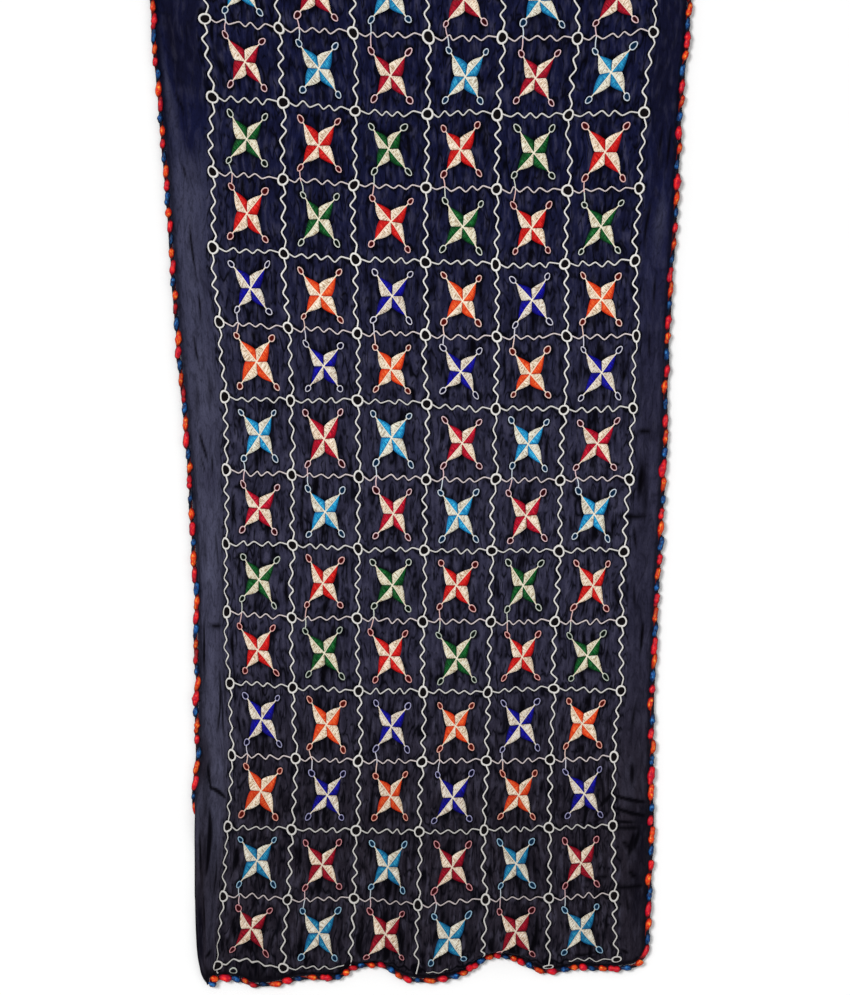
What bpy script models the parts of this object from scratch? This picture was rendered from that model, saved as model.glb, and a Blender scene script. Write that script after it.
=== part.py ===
"""A phulkari shawl laid out flat: an embroidered sheet of fine cloth, edged with a twisted silk cord.

Metres, +Z up. The shawl lies on z = 0 with its length along Y, its hem towards -Y and its right side
towards +X. The cloth is read in squares of its embroidery: "across" counts squares from the left line
of the lattice (0 to 6) and "along" counts them up from the bottom line (0 to 20). Negative values and
values past the last line lie in the plain borders.

    shawl_cloth       the whole sheet, a thin wall with its large folds and its raised stars
    edge_cord_left    four stretches of twisted cord sewn round the edge; towards the hem the left
    edge_cord_right   stretch lies under the cloth, where that border is turned over it
    edge_cord_hem
    edge_cord_top
"""
import math
from collections import namedtuple

import bmesh
import bpy
import numpy as np
from mathutils import Vector

MM = 0.001

# ---------------------------------------------------------------- the cut cloth, before it is laid
SQUARES_ACROSS = 6
SQUARES_ALONG = 20
SQUARE_WIDTH = 0.124
SQUARE_LENGTH = 0.118
LEFT_BORDER = 0.080
RIGHT_BORDER = 0.060
END_MARGIN = 0.020

WALL = 0.0012                 # the doubled cloth with its stitching
STAR_CENTRE_WALL = 0.0030     # where the petals of a star meet; they slope to its tips and notches

BORDER_LEFT_SQUARES = LEFT_BORDER / SQUARE_WIDTH
BORDER_RIGHT_SQUARES = RIGHT_BORDER / SQUARE_WIDTH
MARGIN_SQUARES = END_MARGIN / SQUARE_LENGTH
FIRST_ACROSS = -BORDER_LEFT_SQUARES
LAST_ACROSS = SQUARES_ACROSS + BORDER_RIGHT_SQUARES
FIRST_ALONG = -MARGIN_SQUARES
LAST_ALONG = SQUARES_ALONG + MARGIN_SQUARES

# A star's points, as shares of its square from the square's middle
STAR_TIP = (0.210, 0.260)
STAR_NOTCH = (0.146, 0.155)

# ---------------------------------------------------------------- how it lies, in millimetres
# Where the lines across the shawl run, and how wide it lies there. The cloth is drawn in by its
# puckers towards the hem, and is smoother towards the top.
Section = namedtuple(
    "Section", "along y_left y_middle y_right edge_left lattice_left lattice_right edge_right")
SECTIONS = [
    Section(FIRST_ALONG, -777, -785, -767, -365, -335, 305, 347),
    Section(1, -643, -652, -641, -370, -326, 304, 355),
    Section(2, -528, -538, -530, -370, -317, 303, 359),
    Section(3, -415, -426, -418, -361, -312, 306, 359),
    Section(5, -186, -199, -198, -362, -322, 317, 365),
    Section(7, 44, 30, 28, -374, -322, 328, 378),
    Section(9, 282, 262, 259, -394, -334, 340, 385),
    Section(11, 523, 498, 499, -412, -343, 345, 399),
    Section(12, 644, 618, 621, -423, -344, 350, 405),
    Section(13, 771, 741, 746, -433, -355, 364, 416),
    Section(LAST_ALONG, 1612, 1596, 1598, -452, -372, 374, 434),
]

# The hem waves: how far the cloth's edge lies beyond the lattice's bottom line as seen from above
# (less than nothing where a wave draws it up), and how high the cloth stands just behind it.
HemWave = namedtuple("HemWave", "across reach crest")
HEM_WAVES = [
    HemWave(FIRST_ACROSS, 20, 8),
    HemWave(0.25, 6, 10),
    HemWave(0.60, 15, 8),
    HemWave(1.40, 0, 12),
    HemWave(1.78, 0, 13),
    HemWave(2.02, -16, 22),
    HemWave(2.45, -22, 26),
    HemWave(2.90, 0, 12),
    HemWave(3.20, 4, 9),
    HemWave(3.65, -4, 13),
    HemWave(4.20, -34, 32),
    HemWave(4.55, -25, 27),
    HemWave(5.00, -1, 10),
    HemWave(5.45, -6, 14),
    HemWave(5.85, 1, 9),
    HemWave(LAST_ACROSS, 0, 7),
]
HEM_FALL = 0.066              # length of cloth that turns down to the hem
RIDGE_BASE = 0.060            # a wave dies out over this length of cloth
RIDGE_PER_CREST = 5.0         # and this many times its height

# Long soft folds: where each runs, and its height and half width
Fold = namedtuple("Fold", "across start end half_width height")
FOLDS = [
    Fold(-0.30, 3.6, 12.4, 0.30, 5.0),
    Fold(6.24, 0.7, 4.6, 0.24, 4.0),
    Fold(6.20, 8.0, 11.5, 0.24, 3.0),
    Fold(4.25, 0.8, 6.2, 0.45, 3.5),
    Fold(2.25, 0.8, 4.4, 0.45, 3.0),
    Fold(1.00, 2.0, 8.5, 0.40, 2.5),
]
FOLD_ENDS = 0.9               # squares over which a fold rises and dies

# The turned border: heights of the cloth at its edge and over the cord, and where the cord lies,
# measured from the edge (less than nothing is outside it).
Turn = namedtuple("Turn", "along edge over_cord inside cord")
CORD_RADIUS = 0.0065
CORD_STRANDS = 3
CORD_VALLEY = 0.0042          # from the cord's middle to the bottom of the valley between strands
CORD_HALF_WIDTH = CORD_RADIUS * math.cos(math.pi / 6)
GAP = 0.0003
BESIDE = -(CORD_HALF_WIDTH + GAP) / MM
EDGE_HEIGHT = CORD_RADIUS - WALL / 2    # the cloth's edge meets the cord at its middle
TURNS = [
    Turn(0, 1, 13.9, 13.9, 14),
    Turn(1.33, 1, 13.9, 13.9, 14),
    Turn(1.58, 3, 14.4, 13.9, 14),
    Turn(1.83, 10, 14.9, 13.9, 12),
    Turn(2.08, 13.9, 14.4, 10, 4),
    Turn(2.33, 13.9, 13.9, 5, -5),
    Turn(2.58, 9, 7, 1, BESIDE),
    Turn(2.83, EDGE_HEIGHT / MM, 1, 0, BESIDE),
    Turn(LAST_ALONG, EDGE_HEIGHT / MM, 1, 0, BESIDE),
]
TURN_STATIONS = (0.0, 9.0, 19.0, 35.0)    # from the edge, in millimetres
EDGE_RISE = 0.016             # width over which it rises to that
CORNER_RADIUS = 0.018
CORNER_ROOM = 0.0020          # the cord stands this much wider at the middle of a corner
CORNER_REACH = 0.060          # and closes in over this length of edge

# ---------------------------------------------------------------- the cord
CORD_LAY = 0.0666             # length of one whole turn of its strands
RINGS_PER_LAY = 6
CORD_END_GAP = 0.0040         # between two stretches, at the middle of a corner
HEM_CORD_START = 0.010        # the cord starts this far round the bottom left corner
LEFT_CORD_END = 0.10          # squares above the bottom line, under the turned border

# ---------------------------------------------------------------- materials
CLOTH_COLOUR = (0.017, 0.019, 0.043)
CORD_COLOURS = {
    "left": (0.010, 0.115, 0.315),
    "right": (0.880, 0.085, 0.012),
    "hem": (0.640, 0.012, 0.022),
    "top": (0.880, 0.085, 0.012),
}


# ================================================================ reading the tables
def curve_through(knots, values):
    """A smooth curve through a table's column, which never swings past its values."""
    knots = np.array(knots, dtype=float)
    values = np.array(values, dtype=float)
    steps = np.diff(knots)
    rises = np.diff(values) / steps
    slopes = np.zeros(len(knots))
    slopes[0] = rises[0]
    slopes[-1] = rises[-1]
    for i in range(1, len(knots) - 1):
        if rises[i - 1] * rises[i] > 0:
            before = steps[i] * 2 + steps[i - 1]
            after = steps[i] + steps[i - 1] * 2
            slopes[i] = (before + after) / (before / rises[i - 1] + after / rises[i])

    def read(at):
        at = min(max(at, knots[0]), knots[-1])
        i = min(int(np.searchsorted(knots, at, side="right")) - 1, len(knots) - 2)
        t = (at - knots[i]) / steps[i]
        start = values[i] * (1 + 2 * t) * (1 - t) ** 2 + slopes[i] * steps[i] * t * (1 - t) ** 2
        end = values[i + 1] * t * t * (3 - 2 * t) + slopes[i + 1] * steps[i] * t * t * (t - 1)
        return start + end

    return read


def column(table, key, name):
    """One named column of a table in millimetres, as a smooth curve in metres."""
    knots = [getattr(row, key) for row in table]
    return curve_through(knots, [getattr(row, name) * MM for row in table])


section = {name: column(SECTIONS, "along", name) for name in Section._fields[1:]}
hem_reach = column(HEM_WAVES, "across", "reach")
hem_crest = column(HEM_WAVES, "across", "crest")
turn = {name: column(TURNS, "along", name) for name in Turn._fields[1:]}


def ease(t):
    """From 0 to 1 with level ends."""
    t = min(max(t, 0.0), 1.0)
    return t * t * (3 - 2 * t)


# ================================================================ the laid surface
def plan_x(across, along):
    left = section["lattice_left"](along)
    right = section["lattice_right"](along)
    if across < 0:
        share = across / FIRST_ACROSS
        return left + (section["edge_left"](along) - left) * share
    if across > SQUARES_ACROSS:
        share = (across - SQUARES_ACROSS) / BORDER_RIGHT_SQUARES
        return right + (section["edge_right"](along) - right) * share
    return left + (right - left) * across / SQUARES_ACROSS


def line_y(across, along):
    """Height up the page of a line across the shawl, bowed between its three readings."""
    left, middle, right = (section[name](along) for name in ("y_left", "y_middle", "y_right"))
    t = across / SQUARES_ACROSS * 2 - 1
    return middle + (right - left) / 2 * t + ((left + right) / 2 - middle) * t * t


def plan_y(across, along):
    """The same with the hem drawn up where its waves turn down."""
    fall_top = HEM_FALL / SQUARE_LENGTH + FIRST_ALONG
    if along >= fall_top:
        return line_y(across, along)
    hem = line_y(across, 0) - hem_reach(across)
    top = line_y(across, fall_top)
    pitch = line_y(across, fall_top + 1) - top
    span = top - hem
    share = (along - FIRST_ALONG) * SQUARE_LENGTH / HEM_FALL
    return hem + span * share ** (HEM_FALL / span * pitch / SQUARE_LENGTH)


def hem_height(across, along):
    from_hem = (along - FIRST_ALONG) * SQUARE_LENGTH
    crest = hem_crest(across)
    if from_hem < HEM_FALL:
        return EDGE_HEIGHT + (crest - EDGE_HEIGHT) * math.sin(from_hem / HEM_FALL * math.pi / 2)
    return crest * (1 - ease((from_hem - HEM_FALL) / (RIDGE_BASE + RIDGE_PER_CREST * crest)))


def side_height(across, along):
    """The rise to the cord along both sides, and the left border turned over it near the hem."""
    from_left = plan_x(across, along) - section["edge_left"](along)
    from_right = section["edge_right"](along) - plan_x(across, along)
    right = EDGE_HEIGHT * (1 - ease(from_right / EDGE_RISE))
    stations = [station * MM for station in TURN_STATIONS]
    if from_left >= stations[-1]:
        return right
    heights = [turn["edge"](along), turn["over_cord"](along), turn["inside"](along), 0.0]
    fade = ease((along - FIRST_ALONG) / MARGIN_SQUARES)
    return curve_through(stations, heights)(from_left) * fade


def top_height(along):
    from_top = (LAST_ALONG - along) * SQUARE_LENGTH
    return EDGE_HEIGHT * (1 - ease(from_top / EDGE_RISE))


def fold_height(across, along):
    total = 0.0
    for fold in FOLDS:
        aside = abs(across - fold.across) / fold.half_width
        if aside < 1:
            ends = ease((along - fold.start) / FOLD_ENDS) * ease((fold.end - along) / FOLD_ENDS)
            total += fold.height * MM * ends * (1 + math.cos(math.pi * aside)) / 2
    return total


def round_corner(x, y, edge_x, edge_y):
    """Moves a point near a square corner so that the corner's two edges become an arc."""
    inward_x = math.copysign(1, x - edge_x) if x != edge_x else -math.copysign(1, edge_x)
    inward_y = -math.copysign(1, edge_y)
    u = 1 - abs(x - edge_x) / CORNER_RADIUS
    v = 1 - abs(y - edge_y) / CORNER_RADIUS
    if u <= 0 or v <= 0:
        return x, y
    shrink = max(u, v) / math.hypot(u, v)
    centre_x = edge_x + inward_x * CORNER_RADIUS
    centre_y = edge_y + inward_y * CORNER_RADIUS
    return (centre_x - inward_x * CORNER_RADIUS * u * shrink,
            centre_y - inward_y * CORNER_RADIUS * v * shrink)


def surface(across, along):
    """A point of the cloth's underside."""
    x = plan_x(across, along)
    y = plan_y(across, along)
    side = "edge_left" if across < SQUARES_ACROSS / 2 else "edge_right"
    end = FIRST_ALONG if along < SQUARES_ALONG / 2 else LAST_ALONG
    x, y = round_corner(x, y, section[side](along), plan_y(across, end))
    raised = max(side_height(across, along), hem_height(across, along), top_height(along))
    return Vector((x, y, raised + fold_height(across, along)))


# ================================================================ the cloth
LINES_PER_SQUARE = 4
LEFT_LINES = [FIRST_ACROSS * (1 - share) for share in (0.0, 0.18, 0.39, 0.71)]
RIGHT_LINES = [SQUARES_ACROSS + BORDER_RIGHT_SQUARES * share for share in (0.42, 0.75, 1.0)]
BOTTOM_LINES = [FIRST_ALONG, FIRST_ALONG / 2]
TOP_LINES = [LAST_ALONG]

across_lines = (LEFT_LINES
                + [i / LINES_PER_SQUARE for i in range(SQUARES_ACROSS * LINES_PER_SQUARE + 1)]
                + RIGHT_LINES)
along_lines = (BOTTOM_LINES
               + [i / LINES_PER_SQUARE for i in range(SQUARES_ALONG * LINES_PER_SQUARE + 1)]
               + TOP_LINES)


def grid_point(column_index, row_index):
    """A grid point's place, its wall, and what it is of the star inside its square, if anything."""
    across = across_lines[column_index]
    along = along_lines[row_index]
    in_column = (column_index - len(LEFT_LINES)) % LINES_PER_SQUARE
    in_row = (row_index - len(BOTTOM_LINES)) % LINES_PER_SQUARE
    outside = not (0 < across < SQUARES_ACROSS and 0 < along < SQUARES_ALONG)
    if outside or in_column == 0 or in_row == 0:
        return across, along, WALL, None
    step_across = in_column - 2
    step_along = in_row - 2
    if step_across == 0 and step_along == 0:
        return across, along, STAR_CENTRE_WALL, "centre"
    kind, reach = ("tip", STAR_TIP) if step_across and step_along else ("notch", STAR_NOTCH)
    middle_across = math.floor(across) + 0.5
    middle_along = math.floor(along) + 0.5
    return middle_across + step_across * reach[0], middle_along + step_along * reach[1], WALL, kind


def crease_stars(mesh, kinds):
    """Splits each arm of a star along its ridge, and keeps the star's own edges crisp."""
    work = bmesh.new()
    work.from_mesh(mesh)
    work.verts.ensure_lookup_table()
    for centre in [vertex for vertex in work.verts if kinds[vertex.index] == "centre"]:
        arms = {vertex for face in centre.link_faces for vertex in face.verts}
        for tip in [vertex for vertex in arms if kinds[vertex.index] == "tip"]:
            bmesh.ops.connect_verts(work, verts=[centre, tip])
    for edge in work.edges:
        ends = [kinds[vertex.index] for vertex in edge.verts]
        edge.smooth = None in ends
    work.to_mesh(mesh)
    work.free()


def make_cloth(material):
    columns = len(across_lines)
    bpy.ops.mesh.primitive_grid_add(x_subdivisions=columns - 1, y_subdivisions=len(along_lines) - 1)
    cloth = bpy.context.active_object
    cloth.name = cloth.data.name = "shawl_cloth"
    wall = cloth.vertex_groups.new(name="wall")
    kinds = []
    for vertex in cloth.data.vertices:
        row_index, column_index = divmod(vertex.index, columns)
        across, along, thickness, kind = grid_point(column_index, row_index)
        vertex.co = surface(across, along)
        wall.add([vertex.index], thickness / STAR_CENTRE_WALL, 'REPLACE')
        kinds.append(kind)
    cloth.data.shade_smooth()
    crease_stars(cloth.data, kinds)
    solidify = cloth.modifiers.new("wall", 'SOLIDIFY')
    solidify.thickness = STAR_CENTRE_WALL
    solidify.offset = 1
    solidify.vertex_group = wall.name
    cloth.data.materials.append(material)
    return cloth


# ================================================================ the cord
def corded_edge(points, offsets):
    """A line beside an edge: each corner of the edge moved out by its offset, to the edge's right."""
    moved = []
    for i, point in enumerate(points):
        before = (point - points[max(i - 1, 0)]).normalized()
        after = (points[min(i + 1, len(points) - 1)] - point).normalized()
        if before.length == 0:
            before = after
        if after.length == 0:
            after = before
        outward = Vector((-before.y - after.y, before.x + after.x)).normalized()
        spread = outward.dot(Vector((-after.y, after.x)))
        moved.append(point - outward * offsets[i] / spread)
    return moved


def evenly_spaced(points, skip_start, skip_end):
    """The line's points at the cord's own step, without the lengths skipped at its ends."""
    lengths = [0.0]
    for start, end in zip(points, points[1:]):
        lengths.append(lengths[-1] + (end - start).length)
    first = skip_start
    last = lengths[-1] - skip_end
    count = round((last - first) / (CORD_LAY / RINGS_PER_LAY))
    targets = np.linspace(first, last, count + 1)
    xs = np.interp(targets, lengths, [point.x for point in points])
    ys = np.interp(targets, lengths, [point.y for point in points])
    return list(zip(xs, ys))


def make_strand_profile():
    """A lobe for each strand with a valley between, as the outline that a cord carries and turns."""
    outline = bpy.data.curves.new("cord_profile", 'CURVE')
    outline.dimensions = '2D'
    spline = outline.splines.new('POLY')
    spline.points.add(CORD_STRANDS * 2 - 1)
    for i, point in enumerate(spline.points):
        angle = math.pi / 2 - math.pi * i / CORD_STRANDS
        radius = CORD_VALLEY if i % 2 else CORD_RADIUS
        point.co = (radius * math.cos(angle), radius * math.sin(angle), 0, 1)
    spline.use_cyclic_u = True
    profile = bpy.data.objects.new("cord_profile", outline)
    profile.hide_render = True
    profile.display_type = 'WIRE'
    return profile


def make_cord(name, points, profile, material):
    curve = bpy.data.curves.new(name, 'CURVE')
    curve.dimensions = '3D'
    curve.twist_mode = 'Z_UP'
    curve.bevel_mode = 'OBJECT'
    curve.bevel_object = profile
    curve.use_fill_caps = True
    spline = curve.splines.new('POLY')
    spline.points.add(len(points) - 1)
    for i, (x, y) in enumerate(points):
        spline.points[i].co = (x, y, CORD_RADIUS, 1)
        spline.points[i].tilt = math.tau / RINGS_PER_LAY * i
    curve.materials.append(material)
    return bpy.data.objects.new(name, curve)


def edge_points(line):
    return [surface(across, along).to_2d() for across, along in line]


def beside_edge(line, offset):
    """A cord's line along an edge of the cloth, a little wider where it rounds the corners."""
    points = edge_points(line)
    offsets = []
    for point in points:
        to_end = min((point - points[0]).length, (point - points[-1]).length)
        offsets.append(offset + CORNER_ROOM * (1 - ease(to_end / CORNER_REACH)))
    return corded_edge(points, offsets)


def cord_lines():
    """The four stretches, anticlockwise from the top left corner, each from corner to corner."""
    beside = CORD_HALF_WIDTH + GAP
    clear_of_fall = beside + WALL + GAP
    half_gap = CORD_END_GAP / 2
    under_border = LEFT_CORD_END * SQUARE_LENGTH
    down = [(FIRST_ACROSS, along) for along in reversed(along_lines) if along >= 0]
    left = corded_edge(edge_points(down), [-turn["cord"](along) for _, along in down])
    hem = beside_edge([(across, FIRST_ALONG) for across in across_lines], clear_of_fall)
    right = beside_edge([(LAST_ACROSS, along) for along in along_lines], beside)
    top = beside_edge([(across, LAST_ALONG) for across in reversed(across_lines)], beside)
    return {
        "left": evenly_spaced(left, half_gap, under_border),
        "hem": evenly_spaced(hem, HEM_CORD_START, half_gap),
        "right": evenly_spaced(right, half_gap, half_gap),
        "top": evenly_spaced(top, half_gap, half_gap),
    }


# ================================================================ putting it together
def make_material(name, colour, roughness):
    material = bpy.data.materials.new(name)
    material.use_nodes = True
    shader = material.node_tree.nodes["Principled BSDF"]
    shader.inputs["Base Color"].default_value = (*colour, 1)
    shader.inputs["Roughness"].default_value = roughness
    shader.inputs["Metallic"].default_value = 0
    return material


def centre_on_origin(pieces):
    """Moves the laid shawl so that the middle of its box is over the origin."""
    graph = bpy.context.evaluated_depsgraph_get()
    corners = []
    for piece in pieces:
        evaluated = piece.evaluated_get(graph)
        corners += [evaluated.matrix_world @ Vector(corner) for corner in evaluated.bound_box]
    middle_x = (min(corner.x for corner in corners) + max(corner.x for corner in corners)) / 2
    middle_y = (min(corner.y for corner in corners) + max(corner.y for corner in corners)) / 2
    for piece in pieces:
        piece.location = (-middle_x, -middle_y, 0)


def main():
    for old in list(bpy.data.objects):
        bpy.data.objects.remove(old, do_unlink=True)
    shawl = bpy.data.collections.new("phulkari_shawl")
    guides = bpy.data.collections.new("guides")
    for group in (shawl, guides):
        bpy.context.scene.collection.children.link(group)

    cloth = make_cloth(make_material("chiffon", CLOTH_COLOUR, 0.75))
    for home in list(cloth.users_collection):
        home.objects.unlink(cloth)
    shawl.objects.link(cloth)

    profile = make_strand_profile()
    guides.objects.link(profile)
    cords = []
    for side, points in cord_lines().items():
        silk = make_material(f"silk_{side}", CORD_COLOURS[side], 0.35)
        cord = make_cord(f"edge_cord_{side}", points, profile, silk)
        shawl.objects.link(cord)
        cords.append(cord)
    centre_on_origin([cloth] + cords)


main()
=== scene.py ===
"""A phulkari shawl of dark crinkled chiffon, laid flat, with embroidered stars in a laced grid and a
twisted silk cord round its edge.

Everything stitched is drawn on the flat cloth, in metres (u across, v along), and is then laid with it.
Places on the shawl are in squares of its grid (across and along, from the grid's bottom left corner).
"""
import math
from collections import namedtuple
from functools import partial

import bpy
import numpy as np
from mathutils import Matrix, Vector


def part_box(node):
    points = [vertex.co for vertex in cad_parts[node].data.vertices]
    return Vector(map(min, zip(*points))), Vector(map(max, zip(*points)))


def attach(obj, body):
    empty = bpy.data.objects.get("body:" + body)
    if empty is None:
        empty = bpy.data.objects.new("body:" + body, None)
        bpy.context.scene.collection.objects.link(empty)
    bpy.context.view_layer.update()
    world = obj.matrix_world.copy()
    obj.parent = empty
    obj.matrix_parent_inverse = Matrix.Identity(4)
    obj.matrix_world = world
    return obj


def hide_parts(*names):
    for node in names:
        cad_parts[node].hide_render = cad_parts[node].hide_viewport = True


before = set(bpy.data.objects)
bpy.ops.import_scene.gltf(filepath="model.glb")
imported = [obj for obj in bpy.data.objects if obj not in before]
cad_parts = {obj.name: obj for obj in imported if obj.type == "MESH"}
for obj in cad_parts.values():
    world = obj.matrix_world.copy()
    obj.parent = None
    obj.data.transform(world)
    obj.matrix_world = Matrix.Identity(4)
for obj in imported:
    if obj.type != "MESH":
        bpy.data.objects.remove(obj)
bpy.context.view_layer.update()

# ---------------------------------------------------------------- sizes, in metres (the solids' own)
MM = 0.001
SQUARES_U, SQUARES_V = 6, 20
PITCH_U, PITCH_V = 0.124, 0.118              # one square
PITCH = np.array([PITCH_U, PITCH_V])
LEFT_BORDER = 0.080
RIGHT_BORDER = 0.060
END_MARGIN = 0.020
FLAT_WIDTH = LEFT_BORDER + SQUARES_U * PITCH_U + RIGHT_BORDER
FLAT_LENGTH = SQUARES_V * PITCH_V + 2 * END_MARGIN
WALL = 0.0012
FIRST_ACROSS, LAST_ACROSS = -LEFT_BORDER / PITCH_U, SQUARES_U + RIGHT_BORDER / PITCH_U
FIRST_ALONG, LAST_ALONG = -END_MARGIN / PITCH_V, SQUARES_V + END_MARGIN / PITCH_V
CORD_RADIUS = 0.0065
CORD_HALF_WIDTH = CORD_RADIUS * math.cos(math.pi / 6)
CORD_LAY = 0.0666             # length of one turn of its twist
GAP = 0.0003
BESIDE = -(CORD_HALF_WIDTH + GAP) / MM
EDGE_HEIGHT = CORD_RADIUS - WALL / 2
EDGE_RISE = 0.016
CORNER_RADIUS = 0.018


def rows(fields, *table, defaults=()):
    """A table whose rows are read by the names of their fields."""
    kind = namedtuple("Row", fields, defaults=defaults)
    return [kind(*row) for row in table]


# The laid cloth from above, in mm: how far along a line between squares lies at three places, and how
# far across the cloth's edges and the outer lines of the grid lie.
SECTIONS = rows(
    "along y_left y_middle y_right edge_left lattice_left lattice_right edge_right",
    (FIRST_ALONG, -777, -785, -767, -365, -335, 305, 347), (1, -643, -652, -641, -370, -326, 304, 355),
    (2, -528, -538, -530, -370, -317, 303, 359), (3, -415, -426, -418, -361, -312, 306, 359),
    (5, -186, -199, -198, -362, -322, 317, 365), (7, 44, 30, 28, -374, -322, 328, 378),
    (9, 282, 262, 259, -394, -334, 340, 385), (11, 523, 498, 499, -412, -343, 345, 399),
    (12, 644, 618, 621, -423, -344, 350, 405), (13, 771, 741, 746, -433, -355, 364, 416),
    (LAST_ALONG, 1612, 1596, 1598, -452, -372, 374, 434),
)
# The bottom edge: how far out it reaches and how high it stands, in mm.
HEM_WAVES = rows(
    "across reach crest",
    (FIRST_ACROSS, 20, 8), (0.25, 6, 10), (0.60, 15, 8), (1.40, 0, 12), (1.78, 0, 13), (2.02, -16, 22),
    (2.45, -22, 26), (2.90, 0, 12), (3.20, 4, 9), (3.65, -4, 13), (4.20, -34, 32), (4.55, -25, 27),
    (5.00, -1, 10), (5.45, -6, 14), (5.85, 1, 9), (LAST_ACROSS, 0, 7),
)
HEM_FALL = 0.066              # over this stretch the hem falls to its edge
RIDGE_BASE, RIDGE_PER_CREST = 0.060, 5.0     # length of the slope behind it
# Long low folds: heights in mm, all else in squares.
FOLDS = rows(
    "across start end half_width height",
    (-0.30, 3.6, 12.4, 0.30, 5.0), (6.24, 0.7, 4.6, 0.24, 4.0), (6.20, 8.0, 11.5, 0.24, 3.0),
    (4.25, 0.8, 6.2, 0.45, 3.5), (2.25, 0.8, 4.4, 0.45, 3.0), (1.00, 2.0, 8.5, 0.40, 2.5),
)
FOLD_ENDS = 0.9
# Height of the left border in mm at its edge and at two stations inside, and how far in the cord lies.
TURNS = rows(
    "along edge over_cord inside cord",
    (0, 1, 13.9, 13.9, 14), (1.33, 1, 13.9, 13.9, 14), (1.58, 3, 14.4, 13.9, 14), (1.83, 10, 14.9, 13.9, 12),
    (2.08, 13.9, 14.4, 10, 4), (2.33, 13.9, 13.9, 5, -5), (2.58, 9, 7, 1, BESIDE),
    (2.83, EDGE_HEIGHT / MM, 1, 0, BESIDE), (LAST_ALONG, EDGE_HEIGHT / MM, 1, 0, BESIDE),
)
TURN_STATIONS = np.array([0.0, 9.0, 19.0, 35.0]) * MM
CORNER_ROOM = 0.0020
CORNER_REACH = 0.060
HEM_CORD_START = 0.010
LEFT_CORD_END = 0.10

rng = np.random.default_rng(31)


# ================================================================ the laid surface
def curve_at(knots, values, at):
    """Monotone curve through knots; values is one row, or a row for each point of at."""
    steps = np.diff(knots)
    rises = np.diff(values, axis=-1) / steps
    before = steps[1:] * 2 + steps[:-1]
    after = steps[1:] + steps[:-1] * 2
    low, high = rises[..., :-1], rises[..., 1:]
    same = low * high > 0
    inner = (before + after) / (before / np.where(same, low, 1.0) + after / np.where(same, high, 1.0))
    slopes = np.concatenate([rises[..., :1], np.where(same, inner, 0.0), rises[..., -1:]], -1)
    at = np.clip(at, knots[0], knots[-1])
    i = np.clip(np.searchsorted(knots, at, side="right") - 1, 0, len(knots) - 2)
    t = (at - knots[i]) / steps[i]

    def pick(table, index):
        return table[index] if table.ndim == 1 else np.take_along_axis(table, index[..., None], -1)[..., 0]

    start = pick(values, i) * (1 + 2 * t) * (1 - t) ** 2 + pick(slopes, i) * steps[i] * t * (1 - t) ** 2
    end = pick(values, i + 1) * t * t * (3 - 2 * t) + pick(slopes, i + 1) * steps[i] * t * t * (t - 1)
    return start + end


def curves(table, scale=MM):
    """A function for each column of a table, over its first column."""
    knots, *columns = np.array(table, float).T
    return {name: partial(curve_at, knots, column * scale)
            for name, column in zip(table[0]._fields[1:], columns)}


section, hem, turn = curves(SECTIONS), curves(HEM_WAVES), curves(TURNS)


def ease(t):
    t = np.clip(t, 0.0, 1.0)
    return t * t * (3 - 2 * t)


def plan_x(across, along):
    left, right = section["lattice_left"](along), section["lattice_right"](along)
    inside = left + (right - left) * across / SQUARES_U
    beyond_left = left + (section["edge_left"](along) - left) * across / FIRST_ACROSS
    share = (across - SQUARES_U) / (LAST_ACROSS - SQUARES_U)
    beyond_right = right + (section["edge_right"](along) - right) * share
    return np.where(across < 0, beyond_left, np.where(across > SQUARES_U, beyond_right, inside))


def line_y(across, along):
    left, middle, right = (section[name](along) for name in ("y_left", "y_middle", "y_right"))
    t = across / SQUARES_U * 2 - 1
    return middle + (right - left) / 2 * t + ((left + right) / 2 - middle) * t * t


def plan_y(across, along):
    """The lines of squares, drawn together where the hem falls."""
    fall_top = HEM_FALL / PITCH_V + FIRST_ALONG
    bottom = line_y(across, 0.0) - hem["reach"](across)
    top = line_y(across, fall_top)
    pitch = line_y(across, fall_top + 1) - top
    span = top - bottom
    share = np.clip((along - FIRST_ALONG) * PITCH_V / HEM_FALL, 0, 1)
    drawn = bottom + span * share ** (HEM_FALL / span * pitch / PITCH_V)
    return np.where(along >= fall_top, line_y(across, along), drawn)


def hem_height(across, along):
    from_hem = (along - FIRST_ALONG) * PITCH_V
    crest = hem["crest"](across)
    rise = EDGE_HEIGHT + (crest - EDGE_HEIGHT) * np.sin(np.clip(from_hem / HEM_FALL, 0, 1) * math.pi / 2)
    return np.where(from_hem < HEM_FALL, rise,
                    crest * (1 - ease((from_hem - HEM_FALL) / (RIDGE_BASE + RIDGE_PER_CREST * crest))))


def side_height(across, along):
    from_left = plan_x(across, along) - section["edge_left"](along)
    from_right = section["edge_right"](along) - plan_x(across, along)
    right = EDGE_HEIGHT * (1 - ease(from_right / EDGE_RISE))
    heights = np.stack([turn[name](along) for name in ("edge", "over_cord", "inside")] + [0 * along], -1)
    left = curve_at(TURN_STATIONS, heights, from_left) * ease((along - FIRST_ALONG) / (END_MARGIN / PITCH_V))
    return np.where(from_left >= TURN_STATIONS[-1], right, left)


def fold_height(across, along):
    total = 0.0 * across
    for fold in FOLDS:
        aside = np.clip(np.abs(across - fold.across) / fold.half_width, 0, 1)
        ends = ease((along - fold.start) / FOLD_ENDS) * ease((fold.end - along) / FOLD_ENDS)
        total = total + fold.height * MM * ends * (1 + np.cos(math.pi * aside)) / 2
    return total


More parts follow.
